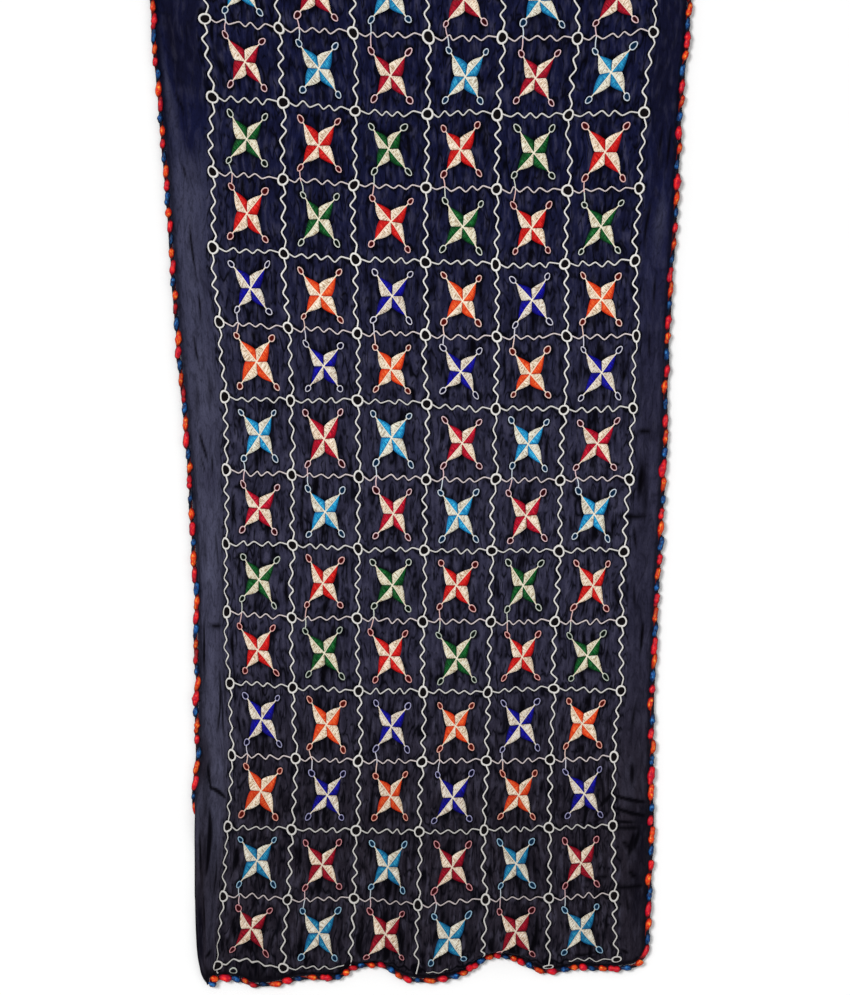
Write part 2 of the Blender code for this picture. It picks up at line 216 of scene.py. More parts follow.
def round_corner(x, y, edge_x, edge_y):
    u = 1 - np.abs(x - edge_x) / CORNER_RADIUS
    v = 1 - np.abs(y - edge_y) / CORNER_RADIUS
    inside = (u > 0) & (v > 0)
    shrink = np.maximum(u, v) / np.maximum(np.hypot(u, v), 1e-9)
    turned_x = edge_x - np.sign(edge_x) * CORNER_RADIUS * (1 - u * shrink)
    turned_y = edge_y - np.sign(edge_y) * CORNER_RADIUS * (1 - v * shrink)
    return np.where(inside, turned_x, x), np.where(inside, turned_y, y)


def surface(across, along):
    """Points of the solid's underside, as an array with x, y and z last."""
    edge_x = np.where(across < SQUARES_U / 2, section["edge_left"](along), section["edge_right"](along))
    edge_y = plan_y(across, np.where(along < SQUARES_V / 2, FIRST_ALONG, LAST_ALONG))
    x, y = round_corner(plan_x(across, along), plan_y(across, along), edge_x, edge_y)
    top = EDGE_HEIGHT * (1 - ease((LAST_ALONG - along) * PITCH_V / EDGE_RISE))
    raised = np.maximum(np.maximum(side_height(across, along), hem_height(across, along)), top)
    return np.stack([x, y, raised + fold_height(across, along)], -1)


# ================================================================ crinkles of the cloth
COLUMNS, ROWS = 401, 801      # lines of the flat cloth's own fine grid
FLAT_U = np.linspace(-LEFT_BORDER, FLAT_WIDTH - LEFT_BORDER, COLUMNS)
FLAT_V = np.linspace(-END_MARGIN, FLAT_LENGTH - END_MARGIN, ROWS)
STEP_U = FLAT_U[1] - FLAT_U[0]
STEP_V = FLAT_V[1] - FLAT_V[0]
ACROSS, ALONG = np.meshgrid(FLAT_U / PITCH_U, FLAT_V / PITCH_V)
CLOTH_LIFT = 0.0010           # middle of the solid's wall
FLOOR_ROOM = 0.0003
DEEPEST = 0.0009              # troughs are free to reach this far under the smooth form
DEEPER = 0.002                # and a quarter of this farther, ever more slowly
CORNER_PULL, CORNER_PULL_REACH = (0.008, -0.013, 0), 0.026


def from_edges(across, along):
    """How far a place is from the nearer side and from the nearer end, on the flat cloth."""
    return (np.minimum(across - FIRST_ACROSS, LAST_ACROSS - across) * PITCH_U,
            np.minimum(along - FIRST_ALONG, LAST_ALONG - along) * PITCH_V)


ROOM = np.minimum(*from_edges(ACROSS, ALONG))


def smooth_noise(size_u, size_v, sharp_u=0.0):
    """A random field whose lumps are size_u by size_v; sharp_u takes out its broad waves across."""
    fu = np.fft.rfftfreq(COLUMNS, STEP_U)
    fv = np.fft.fftfreq(ROWS, STEP_V)[:, None]
    keep = np.exp(-2 * (math.pi * fu * size_u) ** 2 - 2 * (math.pi * fv * size_v) ** 2)
    if sharp_u:
        keep = keep * (1 - np.exp(-2 * (math.pi * fu * sharp_u) ** 2))
    field = np.fft.irfft2(np.fft.rfft2(rng.standard_normal((ROWS, COLUMNS))) * keep, s=(ROWS, COLUMNS))
    return field / field.std()


def add_stroke(field, u, v, half_length, lean, half_width, depth, bow=0.0):
    """A soft ridge (or trough, for a depth below nothing), leaning from the length of the cloth."""
    reach_v = half_length * abs(math.cos(lean)) + half_width * 3
    reach_u = half_length * abs(math.sin(lean)) + half_width * 3 + abs(bow)
    i0, i1 = np.searchsorted(FLAT_U, (u - reach_u, u + reach_u))
    j0, j1 = np.searchsorted(FLAT_V, (v - reach_v, v + reach_v))
    if i1 - i0 < 2 or j1 - j0 < 2:
        return
    du = FLAT_U[None, i0:i1] - u
    dv = FLAT_V[j0:j1, None] - v
    t = (du * math.sin(lean) + dv * math.cos(lean)) / half_length
    aside = du * math.cos(lean) - dv * math.sin(lean) - bow * (1 - t * t)
    width = half_width * (1.15 - 0.5 * t * t)
    field[j0:j1, i0:i1] += depth * np.exp(-(aside / width) ** 2) * np.clip(1 - t * t, 0, 1) ** 1.2


# The main creases: middle in squares, half length in mm, lean from the length in degrees (clockwise),
# depth in mm (less than nothing is a trough), half width and bow in mm.
CREASES = rows(
    "across along half_length lean depth half_width bow",
    # left border
    (-0.43, 11.87, 24, -20, -1.7, 1.9, 2), (-0.42, 10.95, 18, -14, -1.3), (-0.31, 9.90, 56, -8, -1.7, 1.9, -2),
    (-0.28, 9.20, 30, 3, -1.4), (-0.42, 8.60, 36, -7, -1.4), (-0.42, 7.30, 32, -21, -2.2, 2.2),
    (-0.26, 7.05, 24, 0, -1.2, 2.6), (-0.44, 7.05, 20, -24, -1.3), (-0.55, 4.60, 40, -2, -2.0, 2.3),
    (-0.25, 4.80, 30, 80, -1.6, 3.3), (-0.24, 3.80, 60, 4, -1.9, 1.9, 2), (-0.16, 3.60, 55, -3, -1.7, 1.9, -2),
    (-0.11, 3.95, 40, 3, -1.3), (-0.25, 2.44, 30, -70, -2.2, 3.0, 4), (-0.30, 2.28, 28, -80, 1.6, 4.0),
    (-0.44, 2.66, 26, -20, -2.0, 2.8), (-0.41, 1.75, 66, 2, -2.8, 3.4, 6), (-0.53, 1.60, 44, -3, -2.0, 2.2),
    (-0.42, 0.75, 40, -6, -1.7), (-0.22, 1.30, 44, 5, -1.3, 1.9, 2), (-0.30, 0.20, 16, 60, -1.6, 3.3, 2),
    (-0.20, 5.90, 40, -4, -1.1),
    # right border
    (6.15, 10.50, 48, 3, -1.7), (6.28, 11.60, 40, 6, -1.4), (6.40, 11.50, 45, 4, -1.7),
    (6.20, 7.70, 18, 84, -1.6, 3.3, 3), (6.17, 7.00, 36, 0, -1.4, 4.5), (6.15, 6.20, 22, -10, -1.9),
    (6.08, 6.50, 36, 87, -1.6, 3.3), (6.33, 4.75, 34, 4, -2.2, 2.4), (6.22, 8.90, 40, -4, -1.4, 1.9, 2),
    (6.30, 9.60, 36, 5, -1.5), (6.18, 5.35, 34, -5, -1.4, 1.9, 2), (6.24, 3.60, 30, 4, -1.3),
    (6.26, 2.75, 22, 0, -1.4), (6.24, 2.42, 50, -75, -2.7, 2.3, -5), (6.24, 2.23, 48, -74, -2.5, 2.3, -5),
    (6.16, 2.07, 24, -86, -1.7, 2.4, -2), (6.18, 1.96, 26, 88, -1.9, 3.3), (6.25, 1.72, 26, 14, -3.0, 2.0),
    (6.32, 1.82, 22, 14, -2.6, 2.0, 2), (6.20, 1.72, 18, -50, -1.6, 3.3), (6.22, 1.17, 36, -86, -2.6, 3.4, -6),
    (6.28, 1.30, 14, -50, -1.7, 3.3), (6.20, 0.85, 24, -6, -1.5), (6.15, 0.14, 14, -60, -1.7, 3.3),
    # across the squares near the hem and the right side
    (5.88, 2.45, 34, 48, -1.7, 3.4, 4), (5.80, 2.15, 30, 58, -1.3, 3.2, 3), (5.72, 1.25, 30, 80, -1.2, 3.0),
    (5.50, 0.12, 18, 86, -1.6, 3.6, 2), (3.30, 0.55, 20, 10, -1.7, 3.4), (2.52, 0.24, 24, 5, -2.4, 4.4, 2),
    (2.12, 0.30, 26, -12, -2.0, 4.0, 2), (4.42, 0.26, 24, 4, -2.6, 4.6, 2), (4.12, 0.34, 22, -10, -1.9, 4.0),
    (4.74, 0.30, 22, 12, -1.8, 4.0, 2), (1.24, 0.30, 20, 6, -1.6, 3.8), (0.42, 0.26, 20, -8, -1.7, 3.8, 2),
    (0.18, 1.55, 26, 2, -2.0, 3.4), (0.23, 0.54, 24, -12, -2.3, 4.2), (3.92, 1.05, 22, 84, -1.1, 3.0),
    (1.40, 3.55, 16, 86, -1.2, 2.8), (1.62, 4.40, 18, 88, -1.0, 2.8), (5.42, 3.62, 20, 84, -1.1, 2.8),
    (0.55, 6.02, 22, 86, -0.9, 2.8), (2.50, 9.08, 26, 87, -0.9, 3.0), (4.40, 7.10, 24, 86, -0.9, 2.8),
    (5.55, 10.40, 28, 83, -1.0, 3.0),
    # the far length, which lies beyond the view from above
    (-0.32, 14.4, 54, 4, -1.8, 1.8, 3), (-0.22, 15.7, 46, -5, -1.6, 1.7, 2), (-0.40, 16.9, 60, 3, -1.8, 2.2, 2),
    (-0.28, 18.2, 48, -3, -1.7, 1.7, 3), (-0.34, 19.4, 30, -60, -1.7, 1.9, 3),
    (6.24, 13.8, 50, 3, -1.7, 1.8, 2), (6.16, 15.2, 44, -5, -1.5, 1.7, 2), (6.28, 16.6, 56, 3, -1.9, 1.9, 3),
    (6.20, 18.0, 40, 6, -1.6, 1.7, 2), (6.26, 19.3, 26, -70, -1.8, 1.8, 3), (1.45, 19.7, 24, 5, -1.6, 2.2, 2),
    (3.55, 19.72, 22, -7, -1.8, 2.2), (5.20, 19.7, 24, 6, -1.6, 2.2, 2), (4.60, 17.4, 26, 86, -1.0),
    (0.60, 14.9, 24, 85, -1.0),
    defaults=(1.9, 0),
)
# Broad painted light and shade on the borders, given as the creases are; more than nothing is lighter.
PATCHES = rows(
    "across along half_length lean half_width amount",
    # left border
    (-0.18, 12.50, 150, -4, 24, -0.45), (-0.60, 12.50, 100, -3, 8, 0.70), (-0.45, 12.60, 100, -6, 10, -0.80),
    (-0.54, 11.80, 60, -6, 12, 0.45), (-0.34, 11.45, 50, -14, 10, -0.50), (-0.35, 10.10, 150, 0, 30, 0.15),
    (-0.30, 8.10, 70, 0, 26, 0.35), (-0.30, 6.85, 34, 0, 17, -0.55), (-0.30, 5.75, 70, 0, 26, 0.50),
    (-0.20, 6.40, 60, 0, 12, 0.30), (-0.32, 3.60, 80, 0, 24, 0.25), (-0.25, 2.85, 16, 0, 15, 0.45),
    (-0.58, 4.40, 60, 0, 10, -0.45), (-0.56, 2.90, 60, 0, 12, -0.80), (-0.45, 1.80, 90, 0, 10, -0.35),
    (-0.26, 2.00, 100, 0, 16, 0.50), (-0.25, 0.60, 80, 0, 20, 0.35), (-0.58, 0.60, 110, 0, 12, -1.10),
    (-0.51, 0.44, 62, 0, 8, -1.90), (-0.30, 15.50, 160, 0, 26, 0.30), (-0.25, 18.00, 140, 0, 22, -0.40),
    # right border
    (6.20, 12.40, 120, 4, 30, -0.15), (6.22, 11.30, 50, 6, 7, -0.55), (6.34, 10.60, 70, 0, 10, 0.70),
    (6.12, 11.40, 60, 0, 9, 0.60), (6.22, 9.80, 130, 0, 24, 0.30), (6.34, 7.70, 26, 0, 12, -0.50),
    (6.20, 7.00, 40, 0, 10, -1.50), (6.35, 7.00, 40, 0, 8, 0.40), (6.18, 5.70, 60, 0, 20, 0.10),
    (6.28, 5.00, 40, 0, 14, -0.45), (6.22, 2.60, 90, 0, 22, 0.45), (6.31, 1.00, 90, 0, 9, -0.90),
    (6.42, 1.40, 170, 0, 10, -1.00), (6.36, 1.90, 60, 6, 12, -0.70), (6.20, 14.50, 130, 0, 22, 0.25),
    (6.30, 17.50, 150, 0, 18, -0.40),
)
# Where the puckered cloth lies off its even grid: a place in squares, how far it is off in mm, and over
# how many mm around.
NUDGES = rows(
    "across along right up reach",
    (0.5, 0.5, -4, 11, 60), (1.5, 0.5, 1, 5, 60), (2.5, 0.5, 6, 10, 60), (4.5, 0.5, 1, 10, 60),
    (5.5, 0.5, -3, 4, 60), (2.0, 1.0, 3, 6, 50), (3.0, 1.0, 0, -6, 50), (4.0, 1.0, 4, 3, 50),
    (0.5, 1.5, -2, 4, 60), (0.5, 3.5, -1, 4, 70), (4.5, 3.5, 0, 5, 70), (4.5, 1.5, 0, 3, 60),
    (6.0, 4.0, 6, -3, 60), (2.0, 8.0, -1, 5, 60), (3.0, 8.0, 0, 3, 60), (0.0, 8.0, 6, 0, 70),
    (0.0, 10.0, -4, 0, 70), (6.0, 10.0, -6, 2, 60), (2.5, 7.5, 0, 4, 60), (6.0, 13.0, 6, 2, 70),
    (0.30, 0.0, 0, 11, 26), (0.55, 0.0, 0, 8, 22), (0.76, 0.0, 0, 3, 20), (0.0, 0.0, -4, -4, 30),
    (6.0, 0.0, 6, -4, 40), (3.3, 0.0, 0, -8, 30),
)


def make_crinkles():
    """Heights in metres of the crinkled cloth over its smooth form and of its narrow troughs alone, and
    the painted light and shade of its patches."""
    gathers = np.zeros((ROWS, COLUMNS))
    inside = ease((ACROSS + 0.12) / 0.2) * ease((6.12 - ACROSS) / 0.2)
    pull = 0.55 + 0.45 * (1 - ease((ALONG - 6.5) / 6.0)) + 0.25 * ease((ALONG - 14) / 4)
    patchy = np.clip(0.85 + 0.32 * smooth_noise(0.035, 0.050), 0.25, 1.6)

    # soft gathers run along the cloth, closest together inside the grid
    ribs = smooth_noise(0.0021, 0.0105, 0.0055)
    wide = smooth_noise(0.0050, 0.022, 0.0140)
    fine = 0.13 * np.tanh(ribs * 0.8) * MM * pull * patchy * (0.15 + 0.85 * inside)
    field = fine + 0.40 * wide * MM * pull * (0.55 + 0.45 * inside)
    field += 0.75 * MM * smooth_noise(0.013, 0.090, 0.030) * (1 - inside)
    field += 0.25 * MM * smooth_noise(0.022, 0.030) * (0.5 + pull)
    gathers += np.minimum(fine, 0) + np.minimum(wide + 0.9, 0) * 0.35 * MM * pull

    # the cloth stands up a little between its stitched lines
    middle = np.abs(np.sin(math.pi * ACROSS) * np.sin(math.pi * ALONG)) ** 0.7
    field += 0.9 * MM * middle * inside * pull

    def draw_in(u, v, length, width, depth, bow):
        add_stroke(gathers, u, v, rng.uniform(*length), rng.normal(0, 0.07), rng.uniform(*width),
                   -rng.uniform(*depth) * MM * strength, rng.normal(0, bow))

    # gathers drawn by the stitches, above, below and beside each star, and a few across
    for row in range(SQUARES_V):
        strength = 0.50 + 0.50 * (1 - min(max((row - 6.0) / 6.0, 0), 1)) + 0.2 * (row > 14)
        for square in range(SQUARES_U):
            u, v = (square + 0.5) * PITCH_U, (row + 0.5) * PITCH_V
            for side in (-1, 1):
                for _ in range(rng.integers(2, 5)):
                    draw_in(u + rng.normal(0, 0.0120), v + side * rng.uniform(0.028, 0.046),
                            (0.011, 0.026), (0.0018, 0.0027), (0.7, 2.0), 0.0012)
                for _ in range(rng.integers(1, 4)):
                    draw_in(u + side * rng.uniform(0.024, 0.052), v + rng.normal(0, 0.022),
                            (0.014, 0.036), (0.0018, 0.0028), (0.5, 1.7), 0.0015)
            for _ in range(rng.integers(0, 3)):
                add_stroke(gathers, u + rng.uniform(-0.05, 0.05), v + rng.uniform(-0.05, 0.05),
                           rng.uniform(0.008, 0.016), math.pi / 2 + rng.normal(0, 0.15),
                           rng.uniform(0.0022, 0.0034), -rng.uniform(0.3, 0.9) * MM * strength, 0.001)

    def place(row):
        return row.across * PITCH_U, row.along * PITCH_V, row.half_length * MM, math.radians(row.lean)

    for c in CREASES:
        add_stroke(gathers, *place(c), c.half_width * MM, c.depth * MM, c.bow * MM)
        add_stroke(field, *place(c), 2.5 * c.half_width * MM, -0.45 * c.depth * MM, c.bow * MM)
    level = ease((ROOM + 0.002) / 0.012)
    shades = np.zeros((ROWS, COLUMNS))
    for p in PATCHES:
        add_stroke(shades, *place(p), p.half_width * MM, p.amount)
    return (field + gathers) * level, gathers * level, shades


def unit(vectors):
    return vectors / np.maximum(np.linalg.norm(vectors, axis=-1, keepdims=True), 1e-12)


def normals_of(points):
    return unit(np.cross(np.gradient(points, axis=1), np.gradient(points, axis=0)))


crinkles, gathers, shades = make_crinkles()
# what lies under the smooth form comes up again
deeper = -DEEPEST - 0.25 * np.tanh((-crinkles - DEEPEST) / DEEPER) * DEEPER
crinkles = np.where(crinkles < -DEEPEST, deeper, crinkles)
held = ease((ROOM - 0.004) / 0.050)
shift_u = (1.5 * smooth_noise(0.026, 0.026) + 0.5 * smooth_noise(0.009, 0.012)) * MM * held
shift_v = (1.3 * smooth_noise(0.030, 0.026) + 0.4 * smooth_noise(0.010, 0.012)) * MM * held
for nudge in NUDGES:
    near = np.exp(-(((ACROSS - nudge.across) * PITCH_U) ** 2 + ((ALONG - nudge.along) * PITCH_V) ** 2)
                  / (nudge.reach * MM) ** 2) * ease(ROOM / END_MARGIN)
    shift_u = shift_u + near * nudge.right * MM
    shift_v = shift_v + near * nudge.up * MM
smooth_form = surface(ACROSS + shift_u / PITCH_U, ALONG + shift_v / PITCH_V)
# the form is centred as its solid is
own_low, own_high = smooth_form.min((0, 1)), smooth_form.max((0, 1))
part_shift = (np.sum(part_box("shawl_cloth"), 0) - own_low - own_high) / 2 * (1, 1, 0)
smooth_form = smooth_form + part_shift
# the bottom left corner is drawn down to a point by the knot that starts the cord
from_corner = np.hypot((ACROSS - FIRST_ACROSS) * PITCH_U, (ALONG - FIRST_ALONG) * PITCH_V)
smooth_form = smooth_form + np.exp(-(from_corner / CORNER_PULL_REACH) ** 2)[..., None] * CORNER_PULL
smooth_normals = normals_of(smooth_form)
LAID = smooth_form + smooth_normals * (CLOTH_LIFT + crinkles)[..., None]
LAID[..., 2] = np.maximum(LAID[..., 2], FLOOR_ROOM)
LAID_NORMALS = unit(normals_of(LAID) + smooth_normals * 0.6)


def sample(field, u, v):
    """A field of the fine grid read at any places on the flat cloth."""
    i = np.clip((np.asarray(u) - FLAT_U[0]) / STEP_U, 0, COLUMNS - 1.001)
    j = np.clip((np.asarray(v) - FLAT_V[0]) / STEP_V, 0, ROWS - 1.001)
    i0, j0 = i.astype(int), j.astype(int)
    s, t = i - i0, j - j0
    if field.ndim == 3:
        s, t = s[..., None], t[..., None]
    return ((field[j0, i0] * (1 - s) + field[j0, i0 + 1] * s) * (1 - t)
            + (field[j0 + 1, i0] * (1 - s) + field[j0 + 1, i0 + 1] * s) * t)


def lay(flat, height=0.0):
    """Where points drawn on the flat cloth lie, and that far above the cloth."""
    u, v = flat[..., 0], flat[..., 1]
    return sample(LAID, u, v) + unit(sample(LAID_NORMALS, u, v)) * np.asarray(height)[..., None]


# ================================================================ making meshes
def make_mesh(name, points, quads, material, slot, attributes):
    """An object of the shawl from arrays; attributes are a number or a row of three for each point."""
    points = np.ascontiguousarray(points, dtype=np.float32).reshape(-1, 3)
    quads = np.ascontiguousarray(quads, dtype=np.int32).reshape(-1, 4)
    mesh = bpy.data.meshes.new(name)
    mesh.vertices.add(len(points))
    mesh.vertices.foreach_set("co", points.ravel())
    mesh.loops.add(quads.size)
    mesh.loops.foreach_set("vertex_index", quads.ravel())
    mesh.polygons.add(len(quads))
    mesh.polygons.foreach_set("loop_start", np.arange(0, quads.size, 4, dtype=np.int32))
    mesh.update(calc_edges=True)
    mesh.validate()
    for key, values in attributes.items():
        values = np.ascontiguousarray(values, dtype=np.float32).ravel()
        kind, field = ("FLOAT", "value") if len(values) == len(points) else ("FLOAT_VECTOR", "vector")
        mesh.attributes.new(key, kind, 'POINT').data.foreach_set(field, values)
    mesh.shade_smooth()
    mesh.materials.append(material)
    piece = bpy.data.objects.new(name, mesh)
    bpy.context.scene.collection.objects.link(piece)
    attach(piece, "root")
    return piece


def strip_quads(count, length, width, closed_length=False, closed_width=False):
    """Faces of count equal strips whose points run length by width."""
    i = np.arange(length if closed_length else length - 1)
    j = np.arange(width if closed_width else width - 1)
    i, j = np.meshgrid(i, j, indexing="ij")
    i1, j1 = (i + 1) % length, (j + 1) % width
    one = np.stack([i * width + j, i * width + j1, i1 * width + j1, i1 * width + j], -1).reshape(-1, 4)
    return (one[None] + (np.arange(count) * length * width)[:, None, None]).reshape(-1, 4)


def together(*columns):
    """Columns of different shapes as one array, with a last axis that goes through them."""
    return np.stack(np.broadcast_arrays(*columns), -1)


def rightward(forward):
    return together(forward[..., 1], -forward[..., 0])


def run_along(points):
    """How far along its line each point is."""
    steps = np.linalg.norm(np.diff(points, axis=-2), axis=-1)
    return np.cumsum(np.insert(steps, 0, 0, axis=-1), -1)


class Batch:
    """Strips of one material gathered into one mesh."""

    def __init__(self):
        self.points, self.quads, self.attributes, self.total = [], [], {}, 0

    def add(self, points, quads, **attributes):
        self.points.append(points.reshape(-1, 3))
        self.quads.append(quads + self.total)
        self.total += len(self.points[-1])
        for key, values in attributes.items():
            self.attributes.setdefault(key, []).append(np.ravel(values))

    def make(self, name, material, slot):
        attributes = {key: np.concatenate(values) for key, values in self.attributes.items()}
        points, quads = np.concatenate(self.points), np.concatenate(self.quads)
        return make_mesh(name, points, quads, material, slot, attributes)


THREAD_SECTION = np.array([(-1.0, -0.20), (-0.72, 0.62), (0.0, 1.0), (0.72, 0.62), (1.0, -0.20)])
NEXT_THREAD = 0.137           # so that threads of one batch don't show the same twist


def lay_threads(batch, paths, half_width, height, base=0.0, closed=False, darkening=0.0, **tints):
    """Threads couched on the cloth: paths has a row of points for each thread, in flat metres."""
    paths = np.asarray(paths, float)
    count, length = paths.shape[:2]
    forward = np.roll(paths, -1, 1) - np.roll(paths, 1, 1) if closed else np.gradient(paths, axis=1)
    half_width, height = (np.broadcast_to(size, (count, length))[..., None] for size in (half_width, height))
    across = THREAD_SECTION[:, 0] * half_width
    flat = paths[:, :, None] + rightward(unit(forward))[:, :, None] * across[..., None]
    run = run_along(paths) + np.arange(count)[:, None] * NEXT_THREAD
    # painted shade towards the hem and the far end, plus any further darkening given for a line
    thread_darkening = painted_shade_along["thread"](paths[..., 1] / PITCH_V) + darkening
    stitch = together(run[..., None], across, thread_darkening[..., None])
    batch.add(lay(flat, THREAD_SECTION[:, 1] * height + base),
              strip_quads(count, length, len(THREAD_SECTION), closed_length=closed), stitch=stitch,
              **{key: np.broadcast_to(np.array(rows_of)[:, None, None], stitch.shape)
                 for key, rows_of in tints.items()})


def rounded(corners, share, per_corner, mids=0):
    """Paths through corners (a row for each path) with each inner corner rounded off, and mids more
    points on each straight."""
    corners = np.asarray(corners, float)
    out = [corners[:, 0]]

    def straight(end):
        start = out[-1]
        for m in range(mids):
            out.append(start + (end - start) * (m + 1) / (mids + 1))

    for k in range(1, corners.shape[1] - 1):
        before, corner, after = corners[:, k - 1], corners[:, k], corners[:, k + 1]
        start, end = corner + (before - corner) * share, corner + (after - corner) * share
        straight(start)
        for t in np.linspace(0, 1, per_corner):
            out.append(start * (1 - t) ** 2 + corner * 2 * t * (1 - t) + end * t * t)
    straight(corners[:, -1])
    return np.stack(out + [corners[:, -1]], 1)


# ================================================================ materials
TIP = np.array([0.208, 0.2585]) * PITCH      # of a star's arm, from its middle
STAR_POINTEDNESS = 0.617      # power whose curve passes through a star's tips and notches
LOOP = np.array([0.252, 0.317]) * PITCH      # middle of the loop that ends an arm
ACROSS_SWING, ALONG_SWING = 0.0044, 0.0047   # of the zigzag threads
ALONG_BEND = 0.1085                          # from one bend to the next of the threads along
YARN = 0.52, 0.56                            # the weave's, in mm

# Painted shade: how far colours are darkened towards the hem and the far end.
painted_shade_along = curves(rows(
    "along thread gold silk",
    (0.0, 0.44, 0.24, 0.50), (1.8, 0.38, 0.18, 0.42), (3.0, 0.26, 0.10, 0.08), (5.0, 0.22, 0.08, 0.02),
    (8.0, 0.17, 0.04, 0.00), (9.5, 0.10, 0.02, 0.00), (11.5, 0.18, 0.02, 0.04), (12.6, 0.19, 0.04, 0.22),
    (20.0, 0.18, 0.06, 0.16),
), 1)


class Value:
    """What a node gives out; arithmetic on it makes the nodes that work it out."""

    def __init__(self, nodes, socket):
        self.nodes, self.socket = nodes, socket

    def operator(operation):
        return lambda self, other=0.0: self.nodes.math(operation, self, other)

    __add__, __sub__, __mul__, __truediv__, __pow__, __abs__ = map(
        operator, ('ADD', 'SUBTRACT', 'MULTIPLY', 'DIVIDE', 'POWER', 'ABSOLUTE'))


class Nodes:
    """A short way to write a node tree; colour is what has been mixed so far."""

    def __init__(self, name, colour=None):
        self.material = bpy.data.materials.new(name)
        self.material.use_nodes = True
        self.tree = self.material.node_tree
        self.colour = colour

    def give(self, node, inputs):
        for key, value in inputs.items():
            if isinstance(value, Value):
                self.tree.links.new(value.socket, node.inputs[key])
            else:
                node.inputs[key].default_value = value

    def new(self, kind, inputs, output=0, **settings):
        node = self.tree.nodes.new("ShaderNode" + kind)
        for key, value in settings.items():
            setattr(node, key, value)
        self.give(node, inputs)
        return Value(self, node.outputs[output])

    def attribute(self, name, output="Vector"):
        return self.new("Attribute", {}, output, attribute_name=name)

    def split(self, vector):
        return [Value(self, part) for part in self.new("SeparateXYZ", {0: vector}).socket.node.outputs]

    def join(self, x, y):
        return self.new("CombineXYZ", {0: x, 1: y, 2: 0.0})

    def math(self, operation, a, b=0.0, clamp=False):
        return self.new("Math", {0: a, 1: b}, operation=operation, use_clamp=clamp)

    def wave(self, value, length):
        return self.math('SINE', value * (2 * math.pi / length))

    def scaled(self, vector, x, y, z=1.0):
        return self.new("VectorMath", {0: vector, 1: (x, y, z)}, operation='MULTIPLY')

    def noise(self, vector, detail=2.0, roughness=0.5, scale=1.0):
        inputs = {"Vector": vector, "Scale": scale, "Detail": detail, "Roughness": roughness}
        return self.new("TexNoise", inputs)

    def span(self, value, low, high, to_low=0.0, to_high=1.0):
        return self.new("MapRange", {0: value, 1: low, 2: high, 3: to_low, 4: to_high}, clamp=True)

    def mix(self, share, a, b):
        return self.new("Mix", {0: share, 6: a, 7: b}, 2, data_type='RGBA')

    def dye(self, colour, share, *span):
        """Mix a colour into what is there by a share, or by a value read over a span."""
        self.colour = self.mix(self.span(share, *span) if span else share, self.colour, colour)

    def finish(self, roughness, bumps=(), **fixed):
        """Bumps are (height, distance, strength), the lowest first."""
        inputs = {"Base Color": self.colour, "Roughness": roughness}
        for height, distance, strength in bumps:
            below = {"Normal": inputs["Normal"]} if "Normal" in inputs else {}
            inputs["Normal"] = self.new("Bump", {"Height": height, "Distance": distance, "Strength": strength,
                                                 **below})
        inputs.update((key.replace("_", " "), value) for key, value in fixed.items())
        self.give(self.tree.nodes["Principled BSDF"], inputs)
        return self.material


def shade(*screen):
    """A colour given as it looks on a screen, 0 to 255, as the shader needs it."""
    c = np.array(screen) / 255
    return np.append(np.where(c <= 0.04045, c / 12.92, ((c + 0.055) / 1.055) ** 2.4), 1.0)


def in_squares(n, flat):
    """How far through its square a place is, across and along, from the cloth's own millimetres."""
    return [n.math('FRACT', value / size) for value, size in zip(n.split(flat), PITCH / MM)]


def star_nearness(n, flat):
    """1 at the outline of a star and more inside it."""
    across, along = ((share - 0.5) / (2 * tip) for share, tip in zip(in_squares(n, flat), TIP / PITCH))
    return abs(across + along) ** STAR_POINTEDNESS + abs(across - along) ** STAR_POINTEDNESS


def thread_nearness(n, flat):
    """1 beside a thread of the grid, a ring or a loop, falling off over 3 mm."""
    across, along = shares = in_squares(n, flat)
    from_line = [(n.math('FRACT', value / size + 0.5) - 0.5) * size
                 for value, size in zip(n.split(flat), PITCH / MM)]
    from_loop = [abs((share - 0.5) * size) - loop for share, size, loop in zip(shares, PITCH / MM, LOOP / MM)]

    def beside(value, share, middle, bend, swing):
        return abs(value - n.math('COSINE', (share - middle) * (math.pi / bend)) * swing)

    def apart(a, b):
        return n.math('SQRT', a * a + b * b)

    def least(a, b):
        return n.math('MINIMUM', a, b)

    upright = beside(from_line[0], along, 0.5 - 3 * ALONG_BEND, ALONG_BEND, 4.4)
    level = beside(from_line[1], across, 0.175, 0.0907, -4.1)
    nearest = least(least(upright, level), least(apart(*from_line) - 8.6, apart(*from_loop) - 5.0))
    return n.span(nearest, 1.6, 5.2, 0.90, 0.0)


